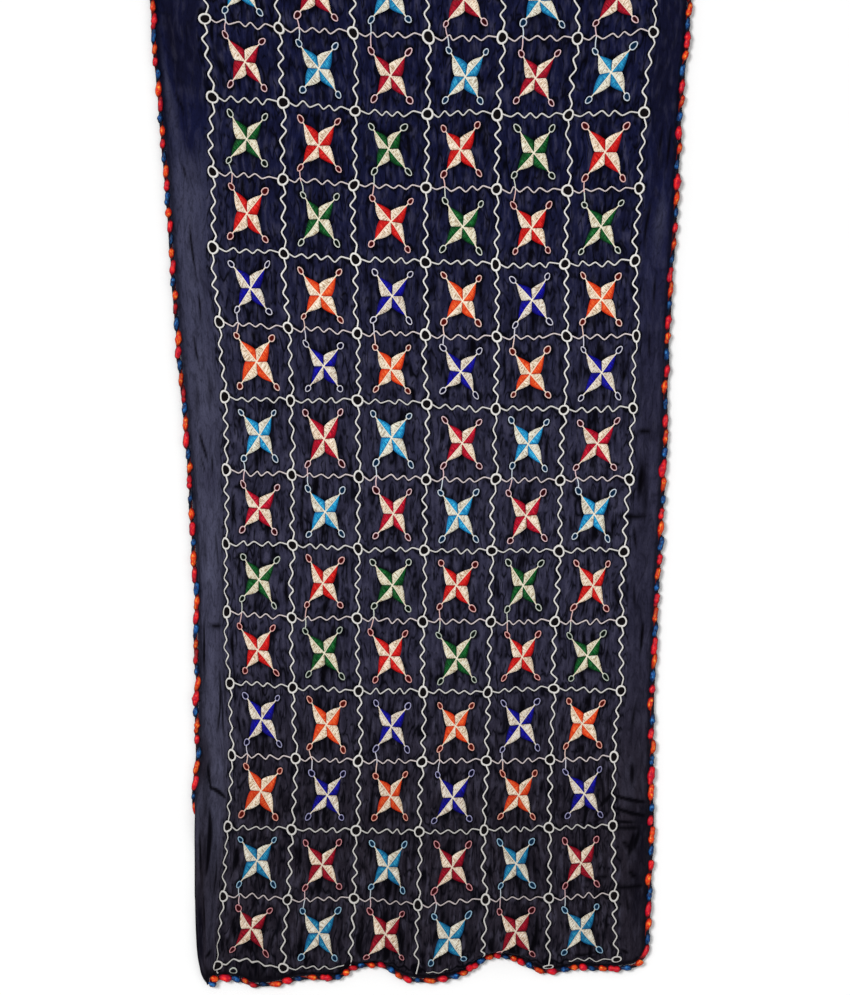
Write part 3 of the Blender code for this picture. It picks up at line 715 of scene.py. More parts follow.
def make_chiffon():
    n = Nodes("crinkled_chiffon", shade(38, 34, 43))
    flat = n.attribute("flat")             # millimetres on the flat cloth, and 1 in z within the lattice
    stitched = n.split(flat)[2]
    flat = n.scaled(flat, 1.0, 1.0, 0.0)
    painted_light_along, pale, fold = n.split(n.attribute("tone"))
    # painted light along the length (lighter in the middle, darker at the far end) and painted light and shade
    # on the borders
    n.dye(shade(49, 48, 68), painted_light_along, 0.0, 0.5)
    n.dye(shade(20, 23, 54), painted_light_along, 0.5, 1.0)
    n.dye(shade(84, 85, 108), pale, 0.0, 1.0)
    n.dye(shade(10, 8, 18), pale, 0.0, -1.0)
    # painted light on the gathers' ridges and painted shade in their troughs, in the thin creases between them
    # and in the crepe's hollows
    lights = n.noise(n.scaled(flat, 0.120, 0.0300))
    drawn = n.span(stitched, 0.0, 1.0, 0.42, 1.0)
    n.dye(shade(104, 102, 126), n.span(lights, 0.50, 0.68, 0.0, 0.18) * drawn)
    n.dye(shade(6, 5, 14), n.span(lights, 0.50, 0.32, 0.0, 0.44) * drawn)
    crepe = n.noise(n.scaled(flat, 0.40, 0.26))
    n.dye(shade(6, 4, 12), crepe, 0.50, 0.34, 0.0, 0.26)
    painted_crease_shade = 0.0
    for wide, long, seed, width, share in ((0.055, 0.0150, 0.0, 0.050, 1.0), (0.105, 0.0300, 37.0, 0.070, 0.9)):
        where = n.new("VectorMath", {0: n.scaled(flat, wide, long), 1: (seed, seed, seed)})
        line = abs(n.noise(where, 1.0) - 0.5)
        some = n.span(n.noise(n.scaled(where, 0.9, 1.9), 1.0), 0.42, 0.58, 0.0, share)
        painted_crease_shade = n.math('MAXIMUM', n.span(line, 0.008, width, 1.0, 0.0) * some, painted_crease_shade)
    painted_crease_shade = painted_crease_shade * drawn
    n.dye(shade(1, 1, 5), painted_crease_shade * 0.94)
    n.dye(shade(14, 13, 26), n.noise(n.scaled(flat, 0.030, 0.014), 3.0), 0.35, 0.65, 0.0, 0.22)
    # painted shade round each star and along each thread, where the cloth is drawn in
    near_star = star_nearness(n, flat) + n.span(lights, 0.3, 0.7, -0.10, 0.10)
    painted_stitch_shade = n.math('MAXIMUM', n.span(near_star, 1.04, 1.32, 0.94, 0.0), thread_nearness(n, flat))
    n.dye(shade(2, 2, 6), painted_stitch_shade * stitched)
    # painted shade in the creases and gathers and along the rolled edges
    n.dye(shade(3, 2, 6), fold)
    u, v, _ = n.split(flat)
    weave = n.wave(u, YARN[0]) * n.wave(v, YARN[1])
    return n.finish(n.span(lights, 0.3, 0.7, 0.80, 0.66),
                    [(lights - painted_crease_shade, 0.0016, 0.6), (crepe, 0.0005, 0.4), (weave, 0.00006, 0.30)],
                    Specular_IOR_Level=0.022, Sheen_Weight=0.020, Sheen_Roughness=0.45,
                    Sheen_Tint=(0.55, 0.56, 0.72, 1.0))


def make_satin(name, light, deep, glint):
    """Satin stitch: stitch.x counts stitches along an arm in mm, stitch.y goes from its ridge to its edge."""
    n = Nodes(name, deep)
    stitch = n.attribute("stitch")
    x, y, _ = n.split(stitch)
    strands = n.noise(n.scaled(stitch, 1.3, 1.2), 3.0, 0.6)
    n.dye(light, strands, 0.34, 0.62)
    n.dye(deep, n.noise(n.scaled(stitch, 0.50, 1.6), 2.0, 0.6), 0.36, 0.54, 0.80, 0.0)
    # painted highlights where the strands stand high
    n.dye(shade(255, 240, 225), strands, 0.50, 0.64, 0.0, glint)
    # painted shade beside the ridge and towards the outer edge, where each petal slopes down
    n.dye(deep, y, 0.0, 0.26, 0.70, 0.0)
    n.dye(deep, y, 0.46, 0.96, 0.0, 0.95)
    # painted shade towards the hem and the far end
    n.dye(shade(6, 4, 8), n.attribute("fade", "Fac"))
    return n.finish(n.span(strands, 0.3, 0.7, 0.50, 0.40),
                    [(n.wave(x, 0.55), 0.00012, 0.45), (strands, 0.0010, 0.5)], Specular_IOR_Level=0.07)


def make_gold():
    n = Nodes("gold_thread", shade(222, 192, 140))
    stitch = n.attribute("stitch")
    x, y, _ = n.split(stitch)
    strands = n.noise(n.scaled(stitch, 1.1, 2.4), 3.0, 0.65)
    specks_and_glints = n.noise(n.scaled(stitch, 0.60, 1.7, 7.0), 2.0, 0.6)
    n.dye(shade(255, 248, 224), strands, 0.32, 0.58)
    n.dye(shade(138, 106, 58), specks_and_glints, 0.50, 0.62, 0.0, 0.85)
    # pale flecks: painted glints of the metal thread
    n.dye(shade(255, 252, 236), specks_and_glints, 0.48, 0.37, 0.0, 0.90)
    n.dye(shade(252, 244, 222), y, 0.86, 1.0, 0.0, 0.45)
    # painted shade beside the ridge, where the petal slopes down
    n.dye(shade(150, 118, 74), y, 0.0, 0.12, 0.30, 0.0)
    # painted reflection of the silk beside it
    n.dye(n.attribute("beside", "Color"), 0.085)       # it mirrors the silk beside it
    # painted shade towards the hem and the far end, with a tan of its own that differs from arm to arm
    n.dye(shade(96, 60, 36), n.attribute("fade", "Fac"))
    return n.finish(n.span(specks_and_glints, 0.35, 0.7, 0.34, 0.48),
                    [(n.wave(x, 0.60), 0.00014, 0.5), (strands, 0.0011, 0.55)], Specular_IOR_Level=0.80)


def make_laced(name, light=None, deep=None):
    """A couched twisted thread: stitch.x runs along it in metres, stitch.y across it, stitch.z is how far
    it is darkened (painted shade towards the hem and the far end, and more on some lines). With no colours
    of its own it takes those of its attributes, the deep one on one side."""
    n = Nodes(name)
    stitch = n.attribute("stitch")
    x, y, darkening = n.split(stitch)
    twist = n.math('SINE', x * (2 * math.pi / 0.0021) + y * (2 * math.pi / 0.0026))
    uneven = n.noise(n.scaled(stitch, 260.0, 500.0, 0.0))
    if light is None:
        light, deep = n.attribute("pale", "Color"), n.attribute("deep", "Color")
        side, spots = n.span(y, 0.0000, 0.0013, 1.0, 0.0), n.span(uneven, 0.3, 0.8, -0.22, 0.16)
        share = n.math('ADD', side, spots, clamp=True)
    else:
        share = n.span(twist * 0.18 + uneven, 0.22, 0.66)
    n.colour = n.mix(share, deep, light)
    # painted shade towards the hem and the far end, and more on some lines
    n.dye(shade(46, 38, 38), darkening)
    return n.finish(0.50, [(twist, 0.00022, 0.5), (uneven, 0.0005, 0.4)], Specular_IOR_Level=0.25)


def make_strand(name, light, deep, other, glint):
    """Glossy untwisted silk: stitch.x runs along the strand in metres, stitch.y is the turn round it,
    stitch.z is how full it is; its thin stretches are painted in shade."""
    n = Nodes(name, light)
    x, y, size = n.split(n.attribute("stitch"))
    lines = n.math('SINE', x * (2 * math.pi / 0.0090) + y * 9.0)
    hairs = n.noise(n.join(x * 90.0, y * 6.0), 3.0, 0.6)
    above = n.math('COSINE', y)
    n.dye(other, n.noise(n.join(x * 130.0, y * 0.8), 1.0), 0.38, 0.58)
    n.dye(deep, hairs, 0.30, 0.62, 0.55, 0.0)
    # painted glints on the top of each bead
    glints = n.span(n.noise(n.join(x * 220.0, y * 1.4)), 0.50, 0.66, 0.0, 0.80)
    n.dye(glint, glints * n.span(above, 0.55, 0.95))
    # painted shade where the strand is thin, between the beads
    n.dye(deep, size, 0.55, 0.98, 0.95, 0.0)
    # painted shade down its sides, so its top is lighter
    n.dye(deep, above, 0.25, 0.88, 0.90, 0.0)
    return n.finish(0.32, [(lines, 0.00018, 0.45), (hairs, 0.0009, 0.5)], Specular_IOR_Level=0.14)


def make_ring_shade_cloth():
    # painted shadow: a dark sheet laid inside rings and loops of thread
    n = Nodes("painted_shade_in_rings")
    n.colour = n.attribute("pale", "Color")
    threads = n.noise(n.new("TexCoord", {}, "Object"), scale=900.0)
    n.dye(shade(4, 3, 7), threads, 0.3, 0.7, 0.0, 0.5)
    return n.finish(0.8, [(threads, 0.0004, 0.4)], Specular_IOR_Level=0.05)


# glint is the share of a painted highlight on the satin
Dye = namedtuple("Dye", "light deep pale glint")
DYES = {
    "crimson": Dye(shade(234, 12, 54), shade(122, 2, 24), shade(255, 220, 224), 0.022),
    "sky": Dye(shade(50, 204, 250), shade(4, 92, 150), shade(234, 244, 250), 0.050),
    "orange": Dye(shade(255, 110, 44), shade(196, 42, 10), shade(255, 226, 214), 0.040),
    "royal": Dye(shade(18, 14, 190), shade(5, 3, 80), shade(234, 232, 244), 0.003),
    "scarlet": Dye(shade(250, 34, 26), shade(156, 4, 8), shade(255, 212, 206), 0.035),
    "green": Dye(shade(0, 116, 46), shade(0, 40, 14), shade(234, 240, 228), 0.030),
}
CREAM = shade(240, 226, 196)
chiffon, gold, ring_shade_cloth = make_chiffon(), make_gold(), make_ring_shade_cloth()
satins = {name: make_satin(f"silk_{name}", dye.light, dye.deep, dye.glint) for name, dye in DYES.items()}
ivory = make_laced("ivory_thread", shade(255, 254, 250), shade(222, 216, 208))
rosy = make_laced("rose_grey_thread", shade(242, 230, 228), shade(196, 180, 180))
tipped = make_laced("tinted_thread")


# ================================================================ the cloth
TUCK_OUT, TUCK_UNDER = 0.0040, 0.0050        # how far the edge turns into the cord, and in under a border


def make_cloth():
    # columns are closer in the borders; rows are closest where the hem turns down and where creases
    # cross the borders, and closer in the near length than in the far one
    grid_u = SQUARES_U * PITCH_U
    columns = np.concatenate([np.linspace(FLAT_U[0], 0, 37)[:-1], np.linspace(0, grid_u, 249),
                              np.linspace(grid_u, FLAT_U[-1], 27)[1:]])
    start, end, shown = 2.02 * PITCH_V, 2.62 * PITCH_V, 13.3 * PITCH_V
    v_rows = np.concatenate([FLAT_V[:30], np.linspace(FLAT_V[30], start, 27, endpoint=False),
                             np.linspace(start, end, 27, endpoint=False), np.linspace(end, shown, 172),
                             np.linspace(13.4 * PITCH_V, FLAT_V[-4], 54), FLAT_V[-3:]])
    u, v = np.meshgrid(columns, v_rows)
    points = sample(LAID, u, v)
    count, width = u.shape
    across, along = u / PITCH_U, v / PITCH_V

    from_side, from_end = from_edges(across, along)
    # painted shade along the rolled ends and sides, and in the creases
    painted_edge_shade = np.maximum(0.85 * np.exp(-(from_end / 0.014) ** 2), 0.65 * np.exp(-(from_side / 0.0035) ** 2))
    fold = np.maximum(0.96 * ease(-sample(gathers, u, v) / (1.3 * MM)), painted_edge_shade)
    # painted light and shade: along the length, lighter on the left border, darker on the right one and on the
    # far borders, and the border patches
    painted_light_along = 0.5 * ease((along - 2.0) / 3.5) + 0.5 * ease((along - 6.5) / 5.0)
    painted_light_along = painted_light_along * (1 - 0.35 * ease((along - 13.5) / 3))
    left = np.exp(-((across + 0.40) / 0.42) ** 2) * ease((along - 0.2) / 2.8)
    left = left * (1 - 0.85 * ease((along - 10.5) / 2.5))
    right = ease((across - 5.95) / 0.15) * (0.12 + 0.12 * np.exp(-((along - 5.5) / 2.0) ** 2))
    outside = ease(-across / 0.15) + ease((across - SQUARES_U) / 0.15)
    pale = 0.45 * left - right + (0.55 * sample(shades, u, v) - 0.30 * ease((along - 10.5) / 2.0)) * outside
    tone = together(painted_light_along, pale, fold).reshape(-1, 3)
    within = (across > -0.1) & (across < SQUARES_U + 0.1) & (along > -0.12) & (along < SQUARES_V + 0.12)
    flat = together(across * PITCH_U / MM, along * PITCH_V / MM, within).reshape(-1, 3)

    # the edge turns into the cord, and under the turned border it turns in beneath
    grid = np.arange(count * width).reshape(count, width)
    border = np.concatenate([grid[0], grid[1:, -1], grid[-1, -2::-1], grid[-2:0:-1, 0]])
    edge = points.reshape(-1, 3)[border]
    outward = unit(rightward(np.roll(edge, -1, 0) - np.roll(edge, 1, 0)))
    beside = np.ones(len(border))
    on_left = border % width == 0
    beside[on_left] = np.clip(-turn["cord"](along.ravel()[border][on_left]) / (6 * MM), -1, 1)
    reach = np.where(beside > 0, TUCK_OUT, TUCK_UNDER) * beside
    in_cord = CORD_RADIUS * 0.95 * beside + edge[:, 2] * (1 - beside)
    beneath = np.maximum(edge[:, 2] - 0.0008, 0.0002)
    tucked = np.column_stack([edge[:, :2] + outward * reach[:, None], np.where(beside > 0, in_cord, beneath)])
    ring = grid.size + np.arange(len(border))
    skirt = np.stack([border, ring, np.roll(ring, -1), np.roll(border, -1)], -1)
    # the turned-in edge takes more painted shade
    return make_mesh(
        "shawl_chiffon", np.concatenate([points.reshape(-1, 3), tucked]),
        np.concatenate([strip_quads(1, count, width), skirt]), chiffon, "chiffon",
        {"flat": np.concatenate([flat, flat[border]]),
         "tone": np.concatenate([tone, tone[border] * (1, 1, 0) + (0, 0, 0.35)])})


# ================================================================ the laced grid
RING_WIDTH, RING_LENGTH = 0.0083, 0.0085
# Where the hem rolls under, it takes the bottom line and some of its rings with it.
HEM_RINGS_HIDDEN = (2, 3, 4)
HEM_LINE_SHOWN = ((0, 1), (0, 0.92), (0, 0), (0.14, 0.50), (0, 0), (0.30, 1))      # shares of each square
HEM_RING_DRAWN = 5            # this one lies half under the cord
HEM_TAIL = ((0.0, -8.5), (2.0, -11.5), (-1.0, -14.5), (2.6, -17.0), (1.2, -20.0), (4.0, -23.2))    # mm
# half width and height of each kind of thread
THREAD = {"ring": (0.00170, 0.0019), "line": (0.00128, 0.0014), "rose": (0.00120, 0.0013),
          "along": (0.00142, 0.0015), "tail": (0.00120, 0.0014), "loop": (0.00108, 0.0013),
          "jump": (0.00098, 0.0012)}
Ring = namedtuple("Ring", "centre width")
RINGS = [Ring(np.array([i, j]) * PITCH - (0, 0.0150 * ((i, j) == (HEM_RING_DRAWN, 0))),
              RING_WIDTH * (1.4 if i == j == 0 else 1.0))
         for j in range(SQUARES_V + 1) for i in range(SQUARES_U + 1) if j or i not in HEM_RINGS_HIDDEN]


def uneven(shares, spread):
    """Shares of a square, the inner ones moved a little."""
    return shares + np.concatenate([[0], rng.normal(0, spread, len(shares) - 2), [0]])


def make_grid():
    rings, lines, rosy_lines = Batch(), Batch(), Batch()
    turns = np.linspace(0, math.tau, 30, endpoint=False)
    paths, widths = [], []
    for ring in RINGS:
        wobble = 1 + 0.07 * np.sin(turns * 2 + rng.uniform(0, math.tau))
        wobble += 0.03 * np.sin(turns * 3 + rng.uniform(0, math.tau))
        scale = rng.normal(1, 0.035)
        paths.append(ring.centre + together(ring.width * scale * wobble * np.cos(turns),
                                            RING_LENGTH * scale * wobble * np.sin(turns)))
        widths.append((1 + 0.12 * np.sin(turns + rng.uniform(0, math.tau))) * rng.normal(1, 0.04))
    half_width, height = THREAD["ring"]
    lay_threads(rings, paths, half_width * np.array(widths), height, closed=True)

    # across: a short run out of a ring, then a zigzag of four points up and four down
    shares = np.array([0.058, 0.175, 0.262, 0.345, 0.450, 0.540, 0.620, 0.710, 0.810, 0.938])
    swing = np.array([0.30, -1.0, 1.0, -1.0, 1.0, -1.0, 1.0, -1.0, 1.0, 0.10])
    for j in range(SQUARES_V + 1):
        paths = []
        for i in range(SQUARES_U):
            at = uneven(shares, 0.011)
            height = ACROSS_SWING * swing * np.clip(rng.normal(1, 0.20, 10), 0.5, 1.5)
            height[0] = ACROSS_SWING * 0.4
            if i == j == 0:
                height *= np.interp(at, [0.3, 0.5, 0.8], [0.7, 0.35, 0.5])
                at[0] = 0.095
            paths.append(together((i + at) * PITCH_U, j * PITCH_V + height))
        paths = rounded(paths, 0.20, 3, 2)
        if j % 2:
            lay_threads(rosy_lines, paths, *THREAD["rose"])
        elif j:
            lay_threads(lines, paths, *THREAD["line"], darkening=0.13)
        else:
            for i, (start, end) in enumerate(HEM_LINE_SHOWN):
                share = paths[i, :, 0] / PITCH_U - i
                if end > start:
                    shown = paths[i:i + 1, (share >= start) & (share <= end)]
                    lay_threads(lines, shown, *THREAD["line"], darkening=0.08)

    # along: a rounder wave with seven bends in a square
    shares = np.concatenate([[0.070], 0.5 + (np.arange(7) - 3) * ALONG_BEND, [0.930]])
    swing = np.array([0.1, 1, -1, 1, -1, 1, -1, 1, 0.0])
    paths = []
    for i in range(SQUARES_U + 1):
        for j in range(SQUARES_V):
            at = uneven(shares, 0.010)
            aside = ALONG_SWING * swing * np.clip(rng.normal(1, 0.16, 9), 0.55, 1.45)
            if j == 0 and i in HEM_RINGS_HIDDEN:
                at[0] = FIRST_ALONG * 0.6
            if j == 0 and i == HEM_RING_DRAWN:
                at[0] = -0.055
            paths.append(together(i * PITCH_U + aside, (j + at) * PITCH_V))
    lay_threads(lines, rounded(paths, 0.22, 4), *THREAD["along"])
    lay_threads(lines, rounded(np.array([HEM_TAIL]) * MM, 0.30, 4), *THREAD["tail"])
    return [rings.make("grid_rings", ivory, "gold_thread"), lines.make("grid_threads", ivory, "gold_thread"),
            rosy_lines.make("grid_threads_rose", rosy, "gold_thread")]


# ================================================================ the stars
NOTCH = np.array([0.146, 0.155]) * PITCH     # between two arms of a star, from its middle
WARM = ("crimson", "orange", "scarlet")
COOL = ("sky", "royal", "green")
PETAL_ROWS, PETAL_COLUMNS = 24, 7
ELBOW = 0.36                  # where along an arm its edge leaves the notch
FULL_PETAL = 0.0065           # a petal of this width stands at its full height
RING_SHADE_STEPS = 14
STAR_WANDER, STAR_LEAN, STAR_SPREAD, ARM_SPREAD = 0.0007, 0.030, 0.018, 0.022
PETAL_BULGE = 0.0016
LOOP_LENGTH, LOOP_WIDTH = 0.0060, 0.0041
# the dark insides of loops and rings are painted shadow
LOOP_SHADE, RING_SHADE = 0.86, 0.84              # shares of a loop and a ring that are dark inside


def star_colour(square, row):
    """Pairs of rows share two colours, set out as a chequer; three pairs make the repeat."""
    return (COOL if (square + row) % 2 else WARM)[(row // 2) % 3]


def petal(centre, tip, notch, bulge):
    """One half of an arm: rows from its ridge to its edge, and how high it stands."""
    s = np.linspace(0, 1, PETAL_ROWS)[:, None]
    ridge = centre + (tip - centre) * s
    inner = centre + (notch - centre) * np.clip(s / ELBOW, 0, 1)
    t = np.clip((s - ELBOW) / (1 - ELBOW), 0, 1)
    along = tip - notch
    side = rightward(along) / np.linalg.norm(along)
    if np.dot(side, notch - centre) < 0:
        side = -side
    outer = notch + along * t + side * bulge * np.sin(np.pi * t ** 0.8)
    edge = np.where(s < ELBOW, inner, outer)
    shares = np.linspace(0, 1, PETAL_COLUMNS)
    flat = ridge[:, None] * (1 - shares[None, :, None]) + edge[:, None] * shares[None, :, None]
    full = np.clip(np.linalg.norm(edge - ridge, axis=-1) / FULL_PETAL, 0, 1) ** 0.7
    dome = 1 - np.abs(2 * shares - 1) ** 2.6
    grooves = 1 + 0.09 * np.cos(np.pi * np.arange(PETAL_ROWS))[:, None] * (dome > 0)
    height = (0.00025 + 0.00165 * full)[:, None] * dome[None] * grooves - 0.00015
    return flat, height, together(s * np.linalg.norm(tip - centre) / MM, shares, 0.0)


def make_ring_shades(ring_shades):
    """Painted shadow inside rings of thread, as dark sheets; each is its centre, arm, length, width and tint.
    """
    centres, arms, lengths, widths, tints = (np.array(part) for part in zip(*ring_shades))
    turns = np.linspace(0, math.tau, RING_SHADE_STEPS, endpoint=False)[:, None]
    out = (lengths[:, None, None] * np.cos(turns) * arms[:, None]
           + widths[:, None, None] * np.sin(turns) * rightward(arms)[:, None])
    flat = centres[:, None, None] + out[:, :, None] * np.array([0.06, 0.98])[:, None]
    points = lay(flat, np.broadcast_to([0.00055, 0.00020], flat.shape[:-1]))
    quads = strip_quads(len(ring_shades), RING_SHADE_STEPS, 2, closed_length=True)[:, ::-1]
    pale = np.broadcast_to(tints[:, None, None], points.shape)
    return make_mesh("painted_ring_shades", points, quads, ring_shade_cloth, "chiffon", {"pale": pale})


class Threads:
    """Threads that each have a pale and a deep side."""

    def __init__(self):
        self.paths, self.pale, self.deep = [], [], []

    def add(self, path, pale, deep):
        self.paths.append(path)
        self.pale.append(pale[:3])
        self.deep.append(deep[:3])

    def make(self, name, half_width, height, **settings):
        batch = Batch()
        lay_threads(batch, self.paths, half_width, height, pale=self.pale, deep=self.deep, **settings)
        return batch.make(name, tipped, "silk_thread")


def make_stars():
    petals = {name: Batch() for name in DYES}
    gold_petals, loops, ridges, jumps = Batch(), Threads(), Threads(), Threads()
    quads = strip_quads(1, PETAL_ROWS, PETAL_COLUMNS)
    turns = np.linspace(0, math.tau, 22, endpoint=False)
    steps = np.linspace(0, 1, 12)
    ring_shades, ends = [], {}
    for row in range(SQUARES_V):
        strong = 0.45 * (1 - ease((row - 2.0) / 4.0))
        for square in range(SQUARES_U):
            name = star_colour(square, row)
            dye = DYES[name]
            centre = (np.array([square, row]) + 0.5) * PITCH + rng.normal(0, STAR_WANDER, 2)
            lean = rng.normal(0, STAR_LEAN)
            scale = rng.normal(1, STAR_SPREAD)
            spin = np.array([[math.cos(lean), -math.sin(lean)], [math.sin(lean), math.cos(lean)]]) * scale
            for sx, sy in ((-1, 1), (1, 1), (1, -1), (-1, -1)):
                stretch = rng.normal(1, ARM_SPREAD, 2)
                tan = 0.05 * (name in COOL) + abs(rng.normal(0, 0.05))
                tip, ring = (centre + spin @ ((sx, sy) * end * stretch) for end in (TIP, LOOP))
                level, upright = (centre + spin @ (NOTCH * side) for side in ((sx, 0), (0, sy)))
                for kind, notch in zip(("gold", "silk"), (upright, level) if sx == sy else (level, upright)):
                    flat, height, stitch = petal(centre, tip, notch, PETAL_BULGE * rng.uniform(0.6, 1.4))
                    turned = np.cross(tip - centre, notch - centre) > 0
                    batch = gold_petals if kind == "gold" else petals[name]
                    # painted shade towards the hem and the far end, a tan on the gold (more in cool squares)
                    # that differs from arm to arm, and the silk colour for the gold's painted reflection
                    batch.add(lay(flat, height), quads[:, ::-1] if turned else quads,
                              stitch=stitch + (rng.uniform(0, 400), 0, rng.uniform(0, 50)),
                              fade=painted_shade_along[kind](flat[..., 1] / PITCH_V) + tan * (kind == "gold"),
                              beside=np.broadcast_to(dye.light[:3], stitch.shape))
                arm = (ring - centre) / np.linalg.norm(ring - centre)
                length = LOOP_LENGTH * rng.uniform(0.88, 1.12)
                width = LOOP_WIDTH * rng.uniform(0.84, 1.14)
                drop = width * (1 - 0.16 * np.cos(turns)) * np.sin(turns)
                loops.add(ring + length * np.cos(turns)[:, None] * arm + drop[:, None] * rightward(arm),
                          dye.pale * (1 - strong) + dye.light * strong, dye.deep)
                ends[square, row, sx, sy] = ring, length
                # painted shadow inside the loop, dark with a little of its silk's colour
                ring_shades.append((ring, arm, length * LOOP_SHADE, width * LOOP_SHADE, dye.deep[:3] * 0.16 + 0.0008))
                ridges.add(centre + (ring - arm * length * 0.95 - centre) * steps[:, None],
                           dye.pale * 0.3 + CREAM * 0.9, dye.pale * 0.4 + CREAM * 0.6)
    # a loop of the hidden row below shows under the bottom line; all loops run anticlockwise, so that
    # their inner side is the tinted one
    stray = (0.25 * PITCH_U, -0.0135) + together(0.0064 * np.cos(turns), 0.0042 * np.sin(turns))[::-1]
    loops.add(stray, DYES["green"].pale, DYES["green"].deep)
    # painted shadow inside each ring of the grid
    ring_shades += [(ring.centre, (0, 1), RING_LENGTH * RING_SHADE, ring.width * RING_SHADE, shade(14, 10, 12)[:3])
             for ring in RINGS]

    # the thread jumps from a star to the one below it, within each pair of rows
    for row in range(0, SQUARES_V, 2):
        for square in range(SQUARES_U):
            high, length = ends[square, row + 1, -1, -1]
            low, other = ends[square, row, -1, 1]
            start = high - (0.0006, length * 0.92)
            stop = low + (0.0004, other * 0.92)
            middle = (start + stop) / 2 + (rng.normal(0.0012, 0.0012), 0)
            for a, b, of in ((start, middle, row + 1), (middle, stop, row)):
                t = np.linspace(0, 1, 9)[:, None]
                bow = (0.0007, 0) * np.sin(np.pi * t) * rng.normal(0, 1)
                dye = DYES[star_colour(square, of)]
                jumps.add(a + (b - a) * t + bow, dye.pale, dye.pale * 0.7 + dye.deep * 0.3)

    swell = np.interp(steps, [0, 0.12, 0.7, 1.0], [0.0018, 0.0009, 0.0008, 0.0011])
    rise = np.interp(steps, [0, 0.3, 0.8, 1.0], [0.0010, 0.0009, 0.0008, 0.0011])
    return [*(batch.make(f"star_{name}", satins[name], "silk_thread") for name, batch in petals.items()),
            gold_petals.make("star_gold", gold, "gold_thread"), make_ring_shades(ring_shades),
            loops.make("star_loops", *THREAD["loop"], closed=True),
            ridges.make("star_ridges", swell, rise, base=0.0002),
            jumps.make("star_jumps", *THREAD["jump"], base=0.0002)]


# ================================================================ the cord round the edge
STRAND_STEPS = 27             # rings in a turn of the cord
CORE_HEIGHT = 0.0060          # of the cord's middle above the floor
FULL_STRAND = 0.0053          # a strand of this radius is in full light
STRAND_THIN, STRAND_SWELL = 0.0013, 0.0043
STRAND_REACH = 0.0018         # of a strand from the cord's middle
END_FADE = 0.006
GIRTH_BESIDE, GIRTH_LOST_UNDER = 0.90, 0.28  # of the hem's, beside a border, and lost under one
# Where a blue strand shows: squares along that side, and turns since the one before (0: as many as fit).
HEM_BLUES = [(share, 1) for share in (0.30, 0.68, 1.21, 1.82, 2.18, 2.68, 3.03, 3.58, 3.95, 4.38, 4.74,
                                      5.24, 5.66, 6.19)]
RIGHT_BLUES = [(0.33, 1), (4.2, 6), (6.7, 4), (9.4, 4), (11.9, 4), (13.1, 2)]
LEFT_BLUES = [(12.7, 0), (10.6, 4), (7.8, 5), (5.3, 4), (2.4, 5)]
# a strand shows over a share of a turn, each way from its top; glint is the colour of its painted highlights
STRANDS = rows(
    "name size half_turn light deep other glint",
    ("orange", 0.88, 0.144, shade(246, 84, 26), shade(110, 6, 2), shade(226, 26, 16), shade(255, 168, 56)),
    ("red", 1.00, 0.162, shade(240, 18, 34), shade(60, 0, 6), shade(190, 6, 48), shade(255, 66, 48)),
    ("blue", 0.80, 0.134, shade(26, 94, 170), shade(0, 4, 22), shade(4, 36, 92), shade(52, 138, 208)),
)


def beside_edge(points, offsets):
    """A line beside an edge, each point moved out to the edge's right."""
    forward = unit(np.diff(points, axis=0))
    before = np.vstack([forward[:1], forward])
    after = np.vstack([forward, forward[-1:]])
    outward = unit(rightward(before + after))
    spread = (outward * rightward(after)).sum(-1)
    return points + outward * (np.broadcast_to(offsets, spread.shape) / spread)[:, None]


def cord_line():
    """The middle of the cord as seen from above, from the bottom left corner anticlockwise to where it
    goes in under the turned border, with its run, its girth and its blue beads."""
    plan = smooth_form[..., :2]
    down = np.arange(ROWS)[ALONG[:, 0] >= LEFT_CORD_END][::-1]
    inward = turn["cord"](ALONG[down, 0])
    beside = CORD_HALF_WIDTH + GAP
    stretches = []
    for edge, offset in ((plan[0], beside + WALL + GAP), (plan[:, -1], beside), (plan[-1, ::-1], beside)):
        to_end = np.minimum(*(np.linalg.norm(edge - end, axis=-1) for end in (edge[0], edge[-1])))
        stretches.append(beside_edge(edge, offset + CORNER_ROOM * (1 - ease(to_end / CORNER_REACH))))
    line = np.vstack(stretches + [beside_edge(plan[down, 0], -inward)])
    run = run_along(line)
    blues = [(HEM_CORD_START + 0.004, 2)]
    for marks, where, along_it in ((HEM_BLUES, ACROSS[0], run[:COLUMNS]),
                                   (RIGHT_BLUES, ALONG[:, -1], run[COLUMNS:COLUMNS + ROWS]),
                                   (LEFT_BLUES, ALONG[down[::-1], 0], run[:-len(down) - 1:-1])):
        blues += [(np.interp(mark, where, along_it), count) for mark, count in marks]
    under = np.clip(inward / (5 * MM), 0, 1)
    girth = np.concatenate([np.full(COLUMNS, 1.0), np.full(ROWS + COLUMNS, GIRTH_BESIDE),
                            GIRTH_BESIDE - GIRTH_LOST_UNDER * under])
    return line, run, girth, blues


def slow_noise(at, wavelength, seed):
    knots = np.arange(0, at[-1] + 2 * wavelength, wavelength)
    return curve_at(knots, np.random.default_rng(seed).normal(0, 1, len(knots)), at)


def tube(centre, radii, sides, flatten=1.0):
    """A closed tube round a line, with the angle of each of its sides from the top."""
    forward = unit(np.gradient(centre, axis=0))
    aside = unit(np.cross(forward, (0.0, 0.0, 1.0)))
    up = np.cross(aside, forward)
    angles = np.linspace(-math.pi, math.pi, sides, endpoint=False)
    offsets = (np.sin(angles)[None, :, None] * aside[:, None]
               + np.cos(angles)[None, :, None] * up[:, None] * flatten)
    return (centre[:, None] + offsets * radii[:, None, None],
            strip_quads(1, len(centre), sides, closed_width=True), angles)


